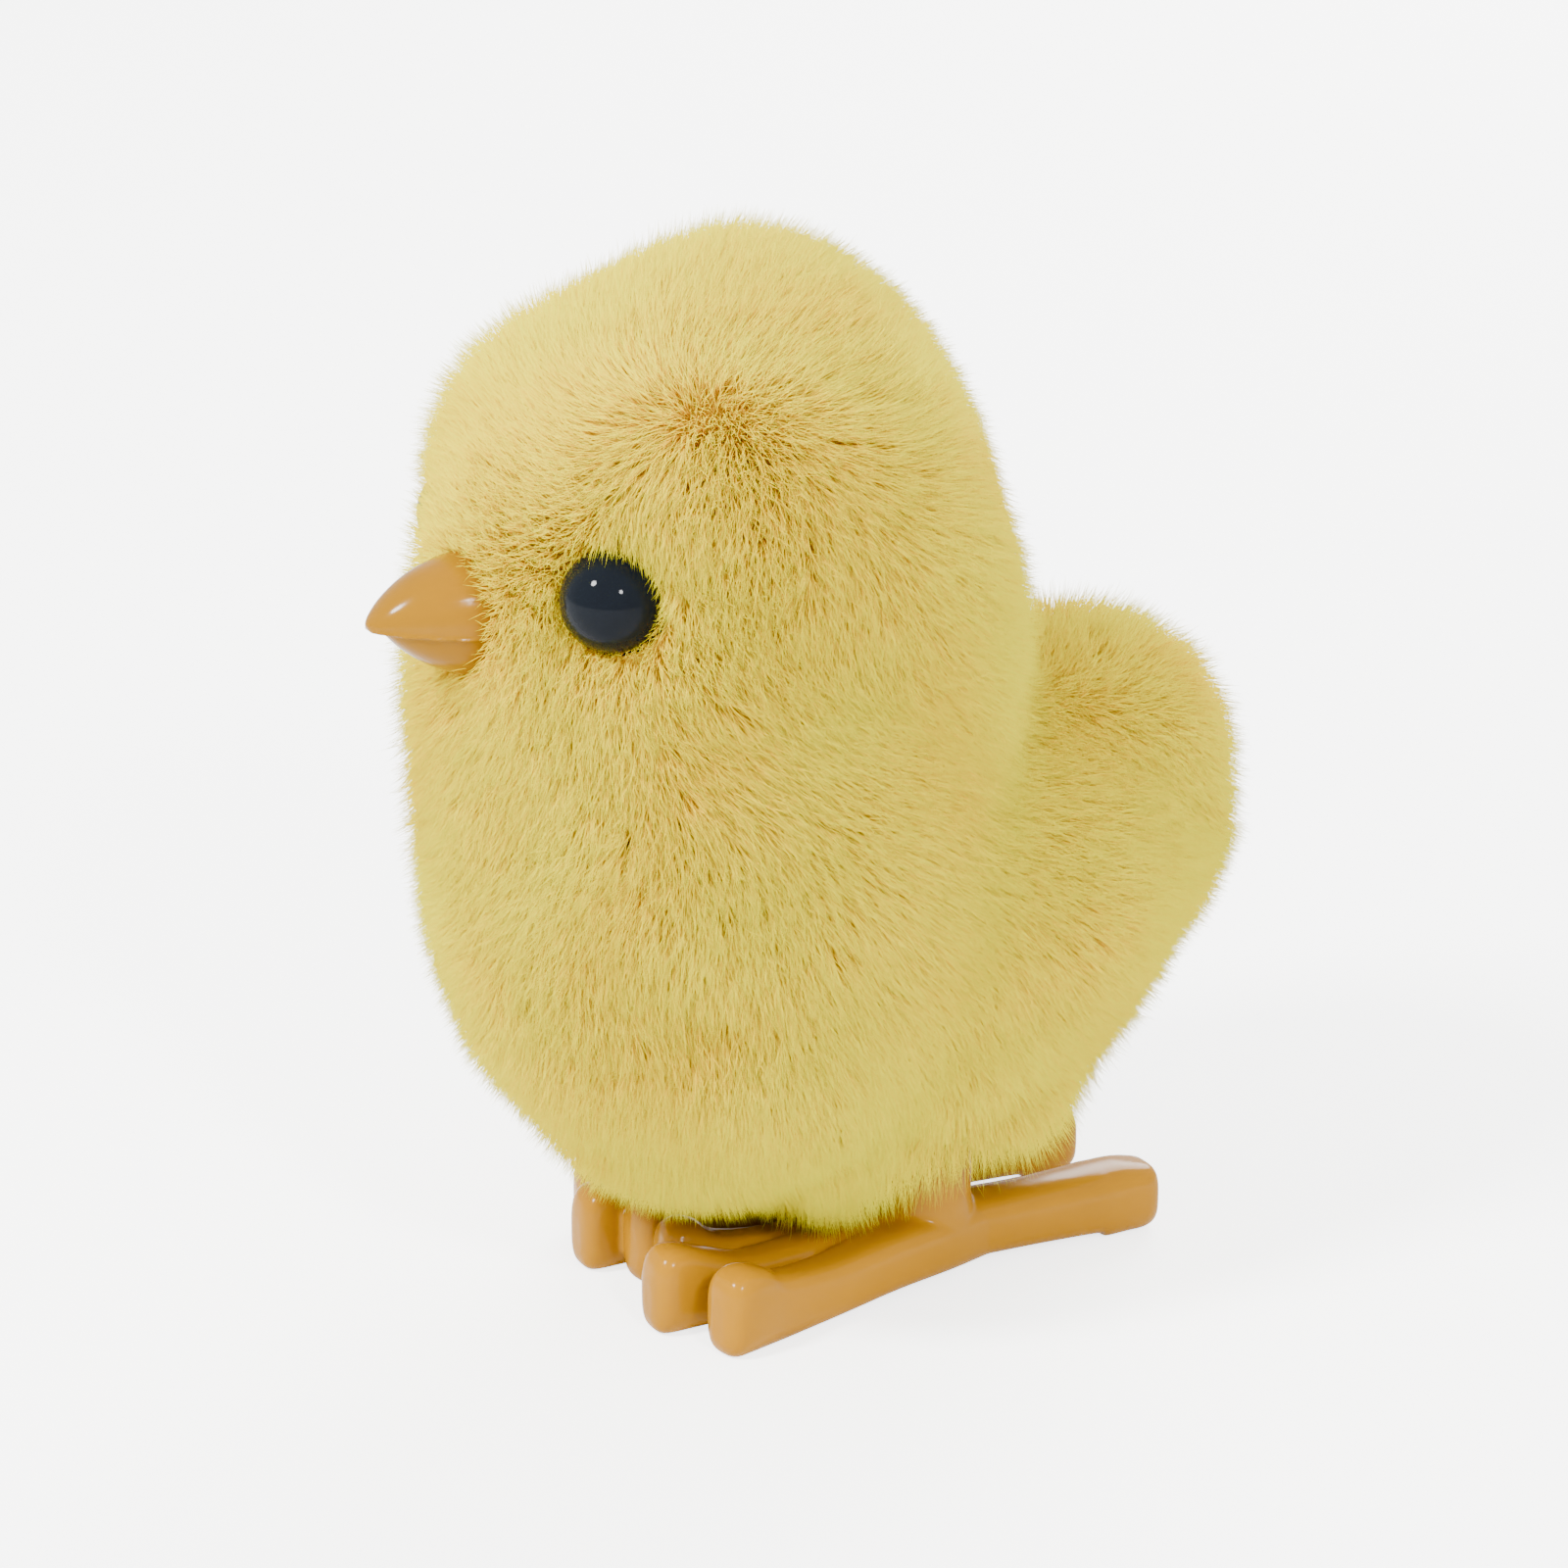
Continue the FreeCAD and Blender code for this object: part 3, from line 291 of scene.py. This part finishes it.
def join(objects, name):
    bpy.ops.object.select_all(action="DESELECT")
    for o in objects:
        o.select_set(True)
    bpy.context.view_layer.objects.active = objects[0]
    bpy.ops.object.join()
    objects[0].name = name
    return objects[0]


def apply_modifier(obj, kind, **values):
    made = obj.modifiers.new(kind.title(), kind)
    for key, value in values.items():
        setattr(made, key, value)
    bpy.context.view_layer.objects.active = obj
    bpy.ops.object.modifier_apply(modifier=made.name)


def fused(objects, name, voxel, smoothing, factor):
    """One smooth skin over overlapping closed bodies; voxel in mm, smoothing in passes."""
    obj = join(objects, name)
    apply_modifier(obj, "REMESH", mode="VOXEL", voxel_size=voxel * MM, use_smooth_shade=True)
    apply_modifier(obj, "SMOOTH", factor=factor, iterations=smoothing)
    return obj


def vertex_table(mesh, attribute):
    """A three-number attribute of every vertex, as (n, 3)."""
    table = np.empty(len(mesh.vertices) * 3)
    mesh.vertices.foreach_get(attribute, table)
    return table.reshape(-1, 3)


def stand_in(obj, node_name, body):
    """The piece replaces a CAD node, which is hidden, and rides on a body."""
    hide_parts(node_name)
    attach(obj, body)


# ---------------------------------------------------------------- places on the bird
ANKLE_X = 6.8
# The ankle openings seen from above, as half sizes x and y: free of pile roots, and cut in the backing
PILE_OPENING = (4.2, 7.8)
BACKING_OPENING = (4.15, 7.7)
OPENING_TOP = 20
STEM_HOLE_RADIUS = 3.3
BEAK_AT = np.array([0, -39.0, 60.2])
PARTING_Z, PARTING_SLOPE, PARTING_START = 61.2, 0.08, -45.9
# An eye stands EYE_REACH from the head's upright axis, EYE_BEARING round from the front
HEAD_Y, EYE_REACH, EYE_Z = -16.4, 20.3, 64.9
EYE_BEARING = math.radians(41.9)
EYE_CENTRE = {side: np.array([sign * EYE_REACH * math.sin(EYE_BEARING),
                              HEAD_Y - EYE_REACH * math.cos(EYE_BEARING), EYE_Z])
              for side, sign in (("left", 1), ("right", -1))}


# ---------------------------------------------------------------- plush body
# Outline of the bird's round body with the pile on: z, radius, centre y
BODY = [(8.6, 0.4, -7.3), (9.0, 4.6, -9.1), (11.2, 9.3, -10.9), (14.9, 14.7, -12.7),
        (19.5, 19.6, -14.4), (25.4, 22.6, -15.7), (32.6, 23.9, -16.2), (40.3, 24.3, -16.1),
        (48.5, 24.1, -15.9), (56.6, 23.9, -16.4), (64.3, 23.7, -16.6), (71.5, 21.9, -16.5),
        (77.0, 19.3, -16.7), (81.4, 15.7, -16.2), (84.7, 11.4, -15.3), (86.4, 6.4, -14.5),
        (87.0, 0.4, -14.3)]
# Rump and tail sections along y: y, top z, bottom z, half width
TAIL = [(-8, 48, 9.8, 20.2), (0, 51.5, 9.4, 20.9), (9, 52.8, 10.5, 19.8), (14, 53.3, 12.4, 17.4),
        (18.5, 53.6, 15.2, 15.0), (22, 53.1, 18.8, 13.1), (25.2, 51.4, 23.9, 11.0), (27.4, 48.8, 29.0, 8.3),
        (28.5, 45.9, 33.6, 5.2), (28.9, 43.0, 38.2, 1.8)]
AROUND_BODY = 64
PILE_HEIGHT = 3.0
# The CAD's moulded shell under the plush: centre y, z and half sizes x, y, z of its four lumps
SHELL = [(-5.0, 30.0, 15.8, 24.8, 17.8), (-16.4, 40.0, 19.5, 19.5, 27.8), (-16.4, 57.0, 19.5, 19.5, 26.8),
         (12.0, 35.5, 11.3, 13.8, 13.3)]
SHELL_CLEARANCE = 0.7
# Half sizes of the zone over the belly plate, its top, and the highest the backing may run in it
PLATE_ZONE_X, PLATE_ZONE_Y, PLATE_ZONE_TOP, UNDER_PLATE = 11.6, 8.4, 24, 16.0


def over_shell(points):
    """Carries a point that is too near the shell outward, and one that is too near the belly plate down."""
    points = points.copy()
    for cy, cz, a, b, c in SHELL:
        centre, half = np.array([0, cy, cz]), np.array([a, b, c]) + SHELL_CLEARANCE
        depth = np.linalg.norm((points - centre) / half, axis=1)
        near = depth < 1
        points[near] = centre + (points[near] - centre) / depth[near, None]
    x, y, z = points.T
    plate = (np.abs(x) < PLATE_ZONE_X) & (np.abs(y) < PLATE_ZONE_Y) & (z < PLATE_ZONE_TOP)
    points[plate, 2] = np.minimum(points[plate, 2], UNDER_PLATE)
    return points


def egg_rings():
    around = circle_angles(AROUND_BODY)
    return [np.stack([r * np.sin(around), cy - r * np.cos(around), np.full(AROUND_BODY, z)], 1)
            for z, r, cy in spline(BODY, 60)]


def tail_rings():
    """Rounded sections that narrow towards their undersides."""
    around = circle_angles(AROUND_BODY)
    across = rounded_box(around, 2.2)[0]
    upward = rounded_box(around, 2.3)[1]
    rings = []
    for y, top, bottom, wide in spline(TAIL, 36):
        w = upward * (top - bottom) / 2
        taper = 1 - 0.25 * np.clip(-w / (top - bottom) * 2, 0, 1)
        rings.append(np.stack([across * wide * taper, np.full(AROUND_BODY, y), (top + bottom) / 2 + w], 1))
    return rings


def body_skin():
    """The backing: body and tail fused, sunk by the pile's height, lumpy, dented round the beak and eyes."""
    egg = mesh_object("egg", *lofted(egg_rings()))
    tail = mesh_object("tail", *lofted(tail_rings()))
    obj = fused([egg, tail], "plush_backing", voxel=0.9, smoothing=14, factor=0.5)
    mesh = obj.data
    points, normals = vertex_table(mesh, "co"), vertex_table(mesh, "normal")
    at = toy(points)
    lumps = 0.45 * noise_field(at, 16, 11) + 0.2 * noise_field(at, 6, 12)
    dent_radius, beak_dent, eye_dent, face_y = 5.5, 0.4, 0.9, -28
    from_beak = np.hypot(at[:, 0], at[:, 2] - BEAK_AT[2])
    dent = beak_dent * np.exp(-(from_beak / dent_radius) ** 2) * (at[:, 1] < face_y)
    for eye in EYE_CENTRE.values():
        dent += eye_dent * np.exp(-(np.linalg.norm(at - eye, axis=1) / dent_radius) ** 2)
    points -= normals * ((PILE_HEIGHT - lumps + dent) * MM)[:, None]
    mesh.vertices.foreach_set("co", row(over_shell(toy(points))).ravel())
    mesh.update()
    apply_modifier(obj, "SMOOTH", factor=0.5, iterations=4)
    set_material(obj, "backing")
    return obj


def cut_openings(skin):
    """Takes the backing's faces away where the legs and the knob's stem pass through."""
    stem = np.array([mid("winding_arbor", a) for a in (1, 2)]) - ORIGIN[1:]
    wide, long = BACKING_OPENING
    b = bmesh.new()
    b.from_mesh(skin.data)
    gone = []
    for f in b.faces:
        x, y, z = toy(np.array(f.calc_center_median()))
        leg = math.hypot((abs(x) - ANKLE_X) / wide, y / long) < 1 and z < OPENING_TOP
        knob = x < 0 and (y - stem[0]) ** 2 + (z - stem[1]) ** 2 < STEM_HOLE_RADIUS ** 2
        if leg or knob:
            gone.append(f)
    bmesh.ops.delete(b, geom=gone, context="FACES")
    b.to_mesh(skin.data)
    b.free()


# ---------------------------------------------------------------- plush pile
PER_PIECE = 22000
PIECES = 16
CLUMPS = 6500
FIBRE_LENGTH = 4.8
# Radii at the sunken root and half way along; the tip is a point
FIBRE_RADII = (0.055, 0.043)
ROOT_DEPTH = 0.3
# Bare patches under the beak (a disc seen from the front, at BEAK_PATCH_Z) and round each eye's centre
BEAK_PATCH, BEAK_PATCH_Z, EYE_PATCH = 4.0, 60.8, 3.7
# How far the combing away from the beak reaches, and where the crown's and the tail's combing take over
FACE_REACH, CROWN_Z, CROWN_BLEND, TAIL_Y, TAIL_BLEND = 14, 74, 12, 6, 10


def comb(points, normals):
    """The way the pile lies along the surface, and how strongly (0.15 to 1). It lies away from the beak on
    the face, back over the crown, and down elsewhere, with a slow swirl."""
    away = unit(points - BEAK_AT)
    face = np.exp(-np.linalg.norm(points - BEAK_AT, axis=1) / FACE_REACH)[:, None]
    down, back, rear = np.array([0, 0.35, -1.0]), np.array([0, 0.8, 0.15]), np.array([0, 0.35, -0.8])
    crown = np.clip((points[:, 2:3] - CROWN_Z) / CROWN_BLEND, 0, 1)
    tail = np.clip((points[:, 1:2] - TAIL_Y) / TAIL_BLEND, 0, 1)
    lay = away * face * 2.2 + (1 - tail) * (1 - crown) * down + (1 - tail) * crown * back + tail * rear
    swirl = np.stack([noise_field(points, 13, seed) for seed in (31, 32, 33)], 1)
    lay = lay + 0.7 * swirl
    lay -= (lay * normals).sum(1, keepdims=True) * normals
    full_strength = 0.7
    return unit(lay), np.clip(np.linalg.norm(lay, axis=1) / full_strength, 0.15, 1)


def skin_samples(obj, count, rng):
    """Random points spread evenly over the skin, with their normals, in toy millimetres."""
    mesh = obj.data
    mesh.calc_loop_triangles()
    tri = np.empty(len(mesh.loop_triangles) * 3, np.int64)
    mesh.loop_triangles.foreach_get("vertices", tri)
    tri = tri.reshape(-1, 3)
    places, normals = toy(vertex_table(mesh, "co")), vertex_table(mesh, "normal")
    a, b, c = (places[tri[:, i]] for i in range(3))
    area = np.linalg.norm(np.cross(b - a, c - a), axis=1)
    pick = tri[rng.choice(len(tri), size=count, p=area / area.sum())]
    u, v = rng.random(count), rng.random(count)
    flip = u + v > 1
    u[flip], v[flip] = 1 - u[flip], 1 - v[flip]
    weights = (1 - u - v, u, v)

    def mixed(table):
        return sum(weight[:, None] * table[pick[:, i]] for i, weight in enumerate(weights))

    return mixed(places), unit(mixed(normals))


def farther(points, centre, radius):
    return np.linalg.norm(points - centre, axis=1) > radius


def ankle_gap(points):
    """Distance from the nearer ankle seen from above, 1 on the edge of the opening its leg moves in."""
    wide, long = PILE_OPENING
    return np.hypot((np.abs(points[:, 0]) - ANKLE_X) / wide, points[:, 1] / long)


def pile_roots(skin, rng):
    """Where fibres stand: over the whole skin but the beak, the eyes and the ankle openings."""
    wanted, spare = PER_PIECE * PIECES, 1.06
    points, normals = skin_samples(skin, int(wanted * spare), rng)
    front_y = -30
    keep = farther(points * [1, 0, 1], [0, 0, BEAK_PATCH_Z], BEAK_PATCH) | (points[:, 1] > front_y)
    for eye in EYE_CENTRE.values():
        keep &= farther(points, eye, EYE_PATCH)
    keep &= (ankle_gap(points) > 1) | (points[:, 2] > OPENING_TOP)
    return points[keep][:wanted], normals[keep][:wanted]


def nearest_clump(skin, points, rng):
    """For each fibre, the nearest of many scattered clump centres."""
    centres, _ = skin_samples(skin, CLUMPS, rng)
    tree = KDTree(len(centres))
    for i, c in enumerate(centres):
        tree.insert(c, i)
    tree.balance()
    return centres[[tree.find(p)[1] for p in points]]


def fibre_paths(points, normals, clump, rng):
    """Root, middle and tip of each fibre, (n, 3, 3)."""
    n = len(points)
    lay, flow = comb(points, normals)
    lean = (0.60 + 0.24 * noise_field(points, 9, 21)) * flow + rng.normal(0, 0.12, n)
    length = FIBRE_LENGTH * (1 + 0.10 * noise_field(points, 11, 22)) * rng.uniform(0.72, 1.14, n)
    near_eye = np.min([np.linalg.norm(points - e, axis=1) for e in EYE_CENTRE.values()], axis=0)
    near_beak = np.linalg.norm(points - BEAK_AT, axis=1)
    length *= np.clip((near_eye - 1.5) / 5, 0.45, 1) * np.clip(near_beak / 8, 0.7, 1)
    # a longer fringe hangs over the ankles
    fringe_reach, fringe_growth, fringe_droop = 2.3, 0.45, 2.5
    fringe = np.clip(fringe_reach - ankle_gap(points), 0, 1) * np.clip((OPENING_TOP - points[:, 2]) / 4, 0, 1)
    length *= 1 + fringe_growth * fringe
    lay = unit(lay + (fringe * fringe_droop)[:, None] * np.array([0, 0, -1.0]))
    jitter = rng.normal(0, 0.13, (n, 3))
    paths = np.empty((n, 3, 3))
    paths[:, 0] = points - normals * ROOT_DEPTH
    start = points
    for i, t in ((1, 0.5), (2, 1.0)):
        angle = (lean * (0.45 + 0.75 * t))[:, None]
        way = unit(normals * np.cos(angle) + lay * np.sin(angle) + jitter * (0.5 + t))
        paths[:, i] = start + way * (length * 0.5)[:, None] + (clump - points) * (0.42 * t * t)
        start = paths[:, i]
    return paths


def fibre_mesh(name, paths, tone):
    """Three-sided curved spikes through paths (n, r, 3). tone (n, r) goes from about 0 at the root to 1."""
    n, r, _ = paths.shape
    axis = unit(paths[:, -1] - paths[:, 0])
    side = unit(np.cross(axis, np.array([0.31, 0.52, 0.79])))
    other = np.cross(axis, side)
    per_fibre = (r - 1) * 3 + 1
    verts, shade = np.empty((n, per_fibre, 3)), np.empty((n, per_fibre), np.float32)
    for i in range(r - 1):
        shade[:, i * 3:i * 3 + 3] = tone[:, i:i + 1]
        for k in range(3):
            a = 2 * math.pi * k / 3
            verts[:, i * 3 + k] = paths[:, i] + FIBRE_RADII[i] * (math.cos(a) * side + math.sin(a) * other)
    verts[:, -1], shade[:, -1] = paths[:, -1], tone[:, -1]
    quads = np.array([(i * 3 + k, i * 3 + (k + 1) % 3, (i + 1) * 3 + (k + 1) % 3, (i + 1) * 3 + k)
                      for i in range(r - 2) for k in range(3)])
    tips = np.array([((r - 2) * 3 + k, (r - 2) * 3 + (k + 1) % 3, per_fibre - 1) for k in range(3)])
    base = (np.arange(n) * per_fibre)[:, None, None]
    quads, tips = (quads + base).reshape(-1), (tips + base).reshape(-1)
    starts = np.concatenate([np.arange(0, len(quads), 4), len(quads) + np.arange(0, len(tips), 3)])
    mesh = bpy.data.meshes.new(name)
    mesh.vertices.add(n * per_fibre)
    mesh.vertices.foreach_set("co", row(verts.reshape(-1, 3)).ravel())
    mesh.loops.add(len(quads) + len(tips))
    mesh.loops.foreach_set("vertex_index", np.concatenate([quads, tips]).astype(np.int32))
    mesh.polygons.add(len(starts))
    mesh.polygons.foreach_set("loop_start", starts.astype(np.int32))
    mesh.polygons.foreach_set("use_smooth", np.ones(len(starts), bool))
    mesh.update(calc_edges=True)
    mesh.attributes.new("along", "FLOAT", "POINT").data.foreach_set("value", shade.ravel())
    obj = link(name, mesh)
    set_material(obj, "pile")
    return obj


def make_plush():
    """The backing, and the pile on it in pieces from the belly up."""
    rng = np.random.default_rng(7)
    skin = body_skin()
    cut_openings(skin)
    points, normals = pile_roots(skin, rng)
    clump = nearest_clump(skin, points, rng)
    paths = fibre_paths(points, normals, clump, rng)
    tone = np.clip(np.array([0.0, 0.5, 1.0])[None, :] + rng.normal(0, 0.07, (len(points), 1))
                   + 0.07 * noise_field(points, 7, 41)[:, None], 0, 1)
    upward = np.argsort(points[:, 2] + 0.2 * points[:, 1], kind="stable")
    for i, part in enumerate(np.array_split(upward, PIECES), 1):
        stand_in(fibre_mesh(f"plush_pile_{i:02d}", paths[part], tone[part]), "fur_cover", "chick")
    stand_in(skin, "fur_cover", "chick")


# ---------------------------------------------------------------- beak
# Sections from the tip back: share of the length, half width, height
BEAK_SHAPE = [(0.0, 0.30, 0.25), (0.02, 0.75, 0.60), (0.06, 1.30, 1.15), (0.16, 2.20, 2.25),
              (0.32, 3.15, 3.55), (0.50, 3.95, 4.55), (0.72, 4.60, 5.35), (1.0, 5.0, 5.9)]


def parting(y):
    """Height of the line where the two halves of the beak meet."""
    return PARTING_Z - (y - PARTING_START) * PARTING_SLOPE


def mandible(name, sections):
    """sections: y, half width, height, foot (z of the flat side). A D-shaped loft, flat side level."""
    arc_points, flat_points = 25, 9
    a = np.linspace(0, math.pi, arc_points)
    u = np.linspace(-1, 1, flat_points + 2)[1:-1]
    rings = []
    for y, wide, high, foot in spline(sections, 30):
        arc = np.stack([np.cos(a) * wide, np.full(arc_points, y), foot + np.sin(a) ** 0.85 * high], 1)
        flat = np.stack([u * wide, np.full(flat_points, y), np.full(flat_points, foot)], 1)
        rings.append(np.vstack([arc, flat]))
    return mesh_object(name, *lofted(rings))


def make_beak():
    """Upper half, a slightly shorter lower half and a raised lip along the parting, in one skin."""
    low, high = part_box("beak")
    tip = -(mid("beak", 1) - ORIGIN[1]) + (high[1] - low[1]) / 2 / MM
    upper, lower, lip = [], [], []
    for share, wide, tall in BEAK_SHAPE:
        y_upper, y_lower, y_lip = -tip + share * 10.0, -tip + 1.1 + share * 8.9, -tip + 0.1 + share * 9.9
        upper.append((y_upper, wide, tall, parting(y_upper) - 0.1))
        lower.append((y_lower, wide * 0.90, -tall * 0.80, parting(y_lower)))
        lip.append((y_lip, wide + 0.24, 0.36, parting(y_upper) - 0.42))
    parts = [mandible("beak_upper", upper), mandible("beak_lower", lower), mandible("beak_lip", lip)]
    beak = fused(parts, "beak_gloss", voxel=0.16, smoothing=3, factor=0.4)
    set_material(beak, "beak")
    stand_in(beak, "beak", "chick")


# ---------------------------------------------------------------- eyes
EYE_RADIUS = 4.0
# The thin flange behind the dome: radius, height along the eye's axis
EYE_FLANGE = [(4.25, -1.1), (4.32, -0.8), (4.18, -0.55), (4.02, -0.5)]


def make_eye(side):
    """A glossy dome on a thin flange, turned outward as the CAD eye is."""
    washer = np.array([mid("eye_washer_" + side, a) for a in range(3)]) - ORIGIN
    out = unit(EYE_CENTRE[side] - washer)
    up = unit(np.array([0, 0, 1.0]) - out[2] * out)
    across = np.cross(up, out)
    around = circle_angles(64)
    circle = np.cos(around)[:, None] * across + np.sin(around)[:, None] * up
    dome = [(EYE_RADIUS * math.cos(a), EYE_RADIUS * math.sin(a))
            for a in np.linspace(0.0, math.pi / 2 - 0.04, 26)]
    rings = [EYE_CENTRE[side] + out * h + r * circle for r, h in EYE_FLANGE + dome]
    obj = mesh_object("eye_dome_" + side, *lofted(rings))
    set_material(obj, "eye")
    stand_in(obj, "eye_" + side, "chick")


# ---------------------------------------------------------------- feet
FOOT_FRONT, FOOT_HEEL = -26.0, 21.9
# Sections along a toe: share of its length, width, underside z, top z
TOE_TIP = [(0.78, 3.9, 0.0, 5.7), (0.86, 4.4, 0.0, 6.9), (0.92, 4.7, 0.0, 7.35), (0.965, 4.4, 0.0, 7.0),
           (0.988, 3.4, 0.4, 6.2), (1.0, 1.6, 1.3, 4.9)]
SIDE_TOE = [(0.0, 4.0, 0.9, 5.6), (0.2, 5.2, 0.9, 6.1), (0.4, 4.9, 0.8, 6.0), (0.6, 4.1, 0.3, 5.4)] + TOE_TIP
# The middle bar, from the heel pad over the low arch to the middle toe's tip
MAIN_BAR = [(0.0, 2.4, 1.3, 4.4), (0.008, 4.2, 0.4, 5.4), (0.03, 5.3, 0.0, 5.8), (0.07, 5.7, 0.0, 6.1),
            (0.115, 5.8, 0.0, 6.1), (0.125, 5.8, 0.4, 6.1), (0.25, 5.6, 0.7, 5.9), (0.38, 5.8, 0.9, 6.1),
            (0.5, 6.0, 1.0, 6.3), (0.62, 5.0, 0.9, 6.1), (0.74, 4.2, 0.5, 5.4), (0.82, 4.0, 0.2, 5.3),
            (0.88, 4.3, 0.0, 6.2), (0.93, 4.6, 0.0, 7.1), (0.965, 4.7, 0.0, 7.3), (0.985, 4.2, 0.1, 6.8),
            (0.996, 3.0, 0.6, 5.8), (1.0, 1.6, 1.4, 4.8)]
# The ankle post: radius, z
POST = [(3.9, 3.2), (3.9, 5.6), (3.8, 6.3), (3.68, 6.9), (3.65, 7.6), (3.65, 9), (3.65, 13.2)]


def toe_body(name, start, end, sections):
    """A rounded bar on the floor plane from start to end, both (x, y)."""
    start, end = np.array([*start, 0]), np.array([*end, 0])
    run = end - start
    across = np.array([-run[1], run[0], 0]) / np.hypot(run[0], run[1])
    upward = np.array([0, 0, 1.0])
    side, rise = rounded_box(circle_angles(48), 3.2)
    rings = []
    for share, wide, low, high in spline(sections, 70):
        u = side * wide / 2
        w = rise * (high - low) / 2
        rings.append(start + run * share + across * u[:, None] + upward * ((high + low) / 2 + w)[:, None])
    return mesh_object(name, *lofted(rings))


def make_foot(side, sign):
    """Three toes, the heel bar and the ankle post in one moulded skin."""
    x, side_toe_front = sign * ANKLE_X, FOOT_FRONT + 3.0
    parts = [toe_body("main", (x, FOOT_HEEL), (x, FOOT_FRONT), MAIN_BAR),
             toe_body("outer", (x + sign * 0.2, 6.0), (x + sign * 6.7, side_toe_front), SIDE_TOE),
             toe_body("inner", (x - sign * 0.5, 1.5), (x - sign * 4.6, side_toe_front), SIDE_TOE)]
    around = circle_angles(56)
    rings = [np.stack([x + r * np.cos(around), r * np.sin(around), np.full(56, z)], 1) for r, z in POST]
    parts.append(mesh_object("post", *lofted(rings)))
    foot = fused(parts, "foot_gloss_" + side, voxel=0.22, smoothing=5, factor=0.45)
    set_material(foot, "foot")
    stand_in(foot, "foot_" + side, side + "_foot")


# ---------------------------------------------------------------- stage
# The photo's view of the toy: degrees round from the front and above level, millimetres away
VIEW_TURN, VIEW_LIFT, VIEW_DISTANCE = 62.5, 19.3, 381.5
LENS, SENSOR = 103.1625, 36
# Where the camera aims, from the floor between the ankles: mm right and up in the picture, and forward
AIM_RIGHT, AIM_UP, AIM_FORWARD = -5.45, 39.3, 3.8
# The sweep, in metres: half width, bend radius, height of the wall, and its reach towards the camera
SWEEP_HALF, SWEEP_BEND, SWEEP_WALL, SWEEP_FRONT = 4, 1.2, 4.0, 3.0
FLOOR_GLOW = 3.0


def floor_material():
    """A pale matt sweep. Its glow towards white is for camera rays only, so it doesn't light the bird."""
    m, tree, shader = new_material("studio_floor")
    mottle = ramp(tree, noise_node(tree, 3, 2), [(0.3, (0.90, 0.90, 0.89)), (0.7, (0.93, 0.93, 0.92))])
    tree.links.new(mottle, shader.inputs["Base Color"])
    set_inputs(shader, Roughness=0.8, Emission_Color=(1, 1, 1, 1))
    glow = node(tree, "ShaderNodeMath", operation="MULTIPLY")
    tree.links.new(tree.nodes.new("ShaderNodeLightPath").outputs["Is Camera Ray"], glow.inputs[0])
    glow.inputs[1].default_value = FLOOR_GLOW
    tree.links.new(glow.outputs[0], shader.inputs["Emission Strength"])
    return m


def make_floor():
    """A floor that bends up into a wall behind the toy, square to the camera."""
    bend = [(SWEEP_BEND + math.sin(a) * SWEEP_BEND, SWEEP_BEND - math.cos(a) * SWEEP_BEND)
            for a in np.linspace(0, math.pi / 2, 12)]
    rim = [(-SWEEP_FRONT, 0.0)] + bend + [(2 * SWEEP_BEND, SWEEP_WALL)]
    away = np.array([-0.837, 0.4358, 0]) / math.hypot(0.837, 0.4358)
    across = np.array([-away[1], away[0], 0])
    points = [tuple(away * u + across * side * SWEEP_HALF + np.array([0, 0, z]))
              for u, z in rim for side in (-1, 1)]
    faces = [(2 * i, 2 * i + 1, 2 * i + 3, 2 * i + 2) for i in range(len(rim) - 1)]
    mesh = bpy.data.meshes.new("floor")
    mesh.from_pydata(points, [], faces)
    mesh.polygons.foreach_set("use_smooth", [True] * len(faces))
    mesh.materials.append(floor_material())
    link("floor", mesh)


def area_light(name, place, aim, size, power):
    """A white disk lamp, size in metres and power in watts."""
    lamp = bpy.data.lights.new(name, "AREA")
    lamp.shape = "DISK"
    lamp.size = size
    lamp.energy = power
    obj = link(name, lamp)
    obj.location = place
    obj.rotation_euler = (Vector(aim) - Vector(place)).to_track_quat("-Z", "Y").to_euler()


def make_lights():
    world = bpy.data.worlds.new("studio")
    world.use_nodes = True
    set_inputs(world.node_tree.nodes["Background"], Color=(1.0, 1.0, 1.0, 1), Strength=1.75)
    bpy.context.scene.world = world
    centre = Vector(row([0, -8, 45]))
    area_light("key", (0.10, -0.75, 0.80), centre, size=0.20, power=24.0)
    area_light("side", (0.75, -0.05, 0.55), centre, size=0.12, power=7.0)
    area_light("back", (-0.55, 0.60, 0.55), centre, size=0.60, power=14.0)


def make_camera():
    turn, lift = math.radians(VIEW_TURN), math.radians(VIEW_LIFT)
    right = np.array([math.cos(turn), math.sin(turn), 0])
    back = np.array([math.sin(turn) * math.cos(lift), -math.cos(turn) * math.cos(lift), math.sin(lift)])
    up = np.cross(back, right)
    target = right * AIM_RIGHT + up * AIM_UP - [0, AIM_FORWARD, 0]
    place = row(target + back * VIEW_DISTANCE)
    data = bpy.data.cameras.new("camera")
    data.lens = LENS
    data.sensor_width = SENSOR
    camera = link("camera", data)
    rows = [(float(right[i]), float(up[i]), float(back[i]), float(place[i])) for i in range(3)]
    camera.matrix_world = Matrix(rows + [(0, 0, 0, 1)])
    bpy.context.scene.camera = camera


finish_cad_nodes()
make_plush()
make_beak()
make_eye("left")
make_eye("right")
make_foot("left", 1)
make_foot("right", -1)
make_floor()
make_lights()
make_camera()
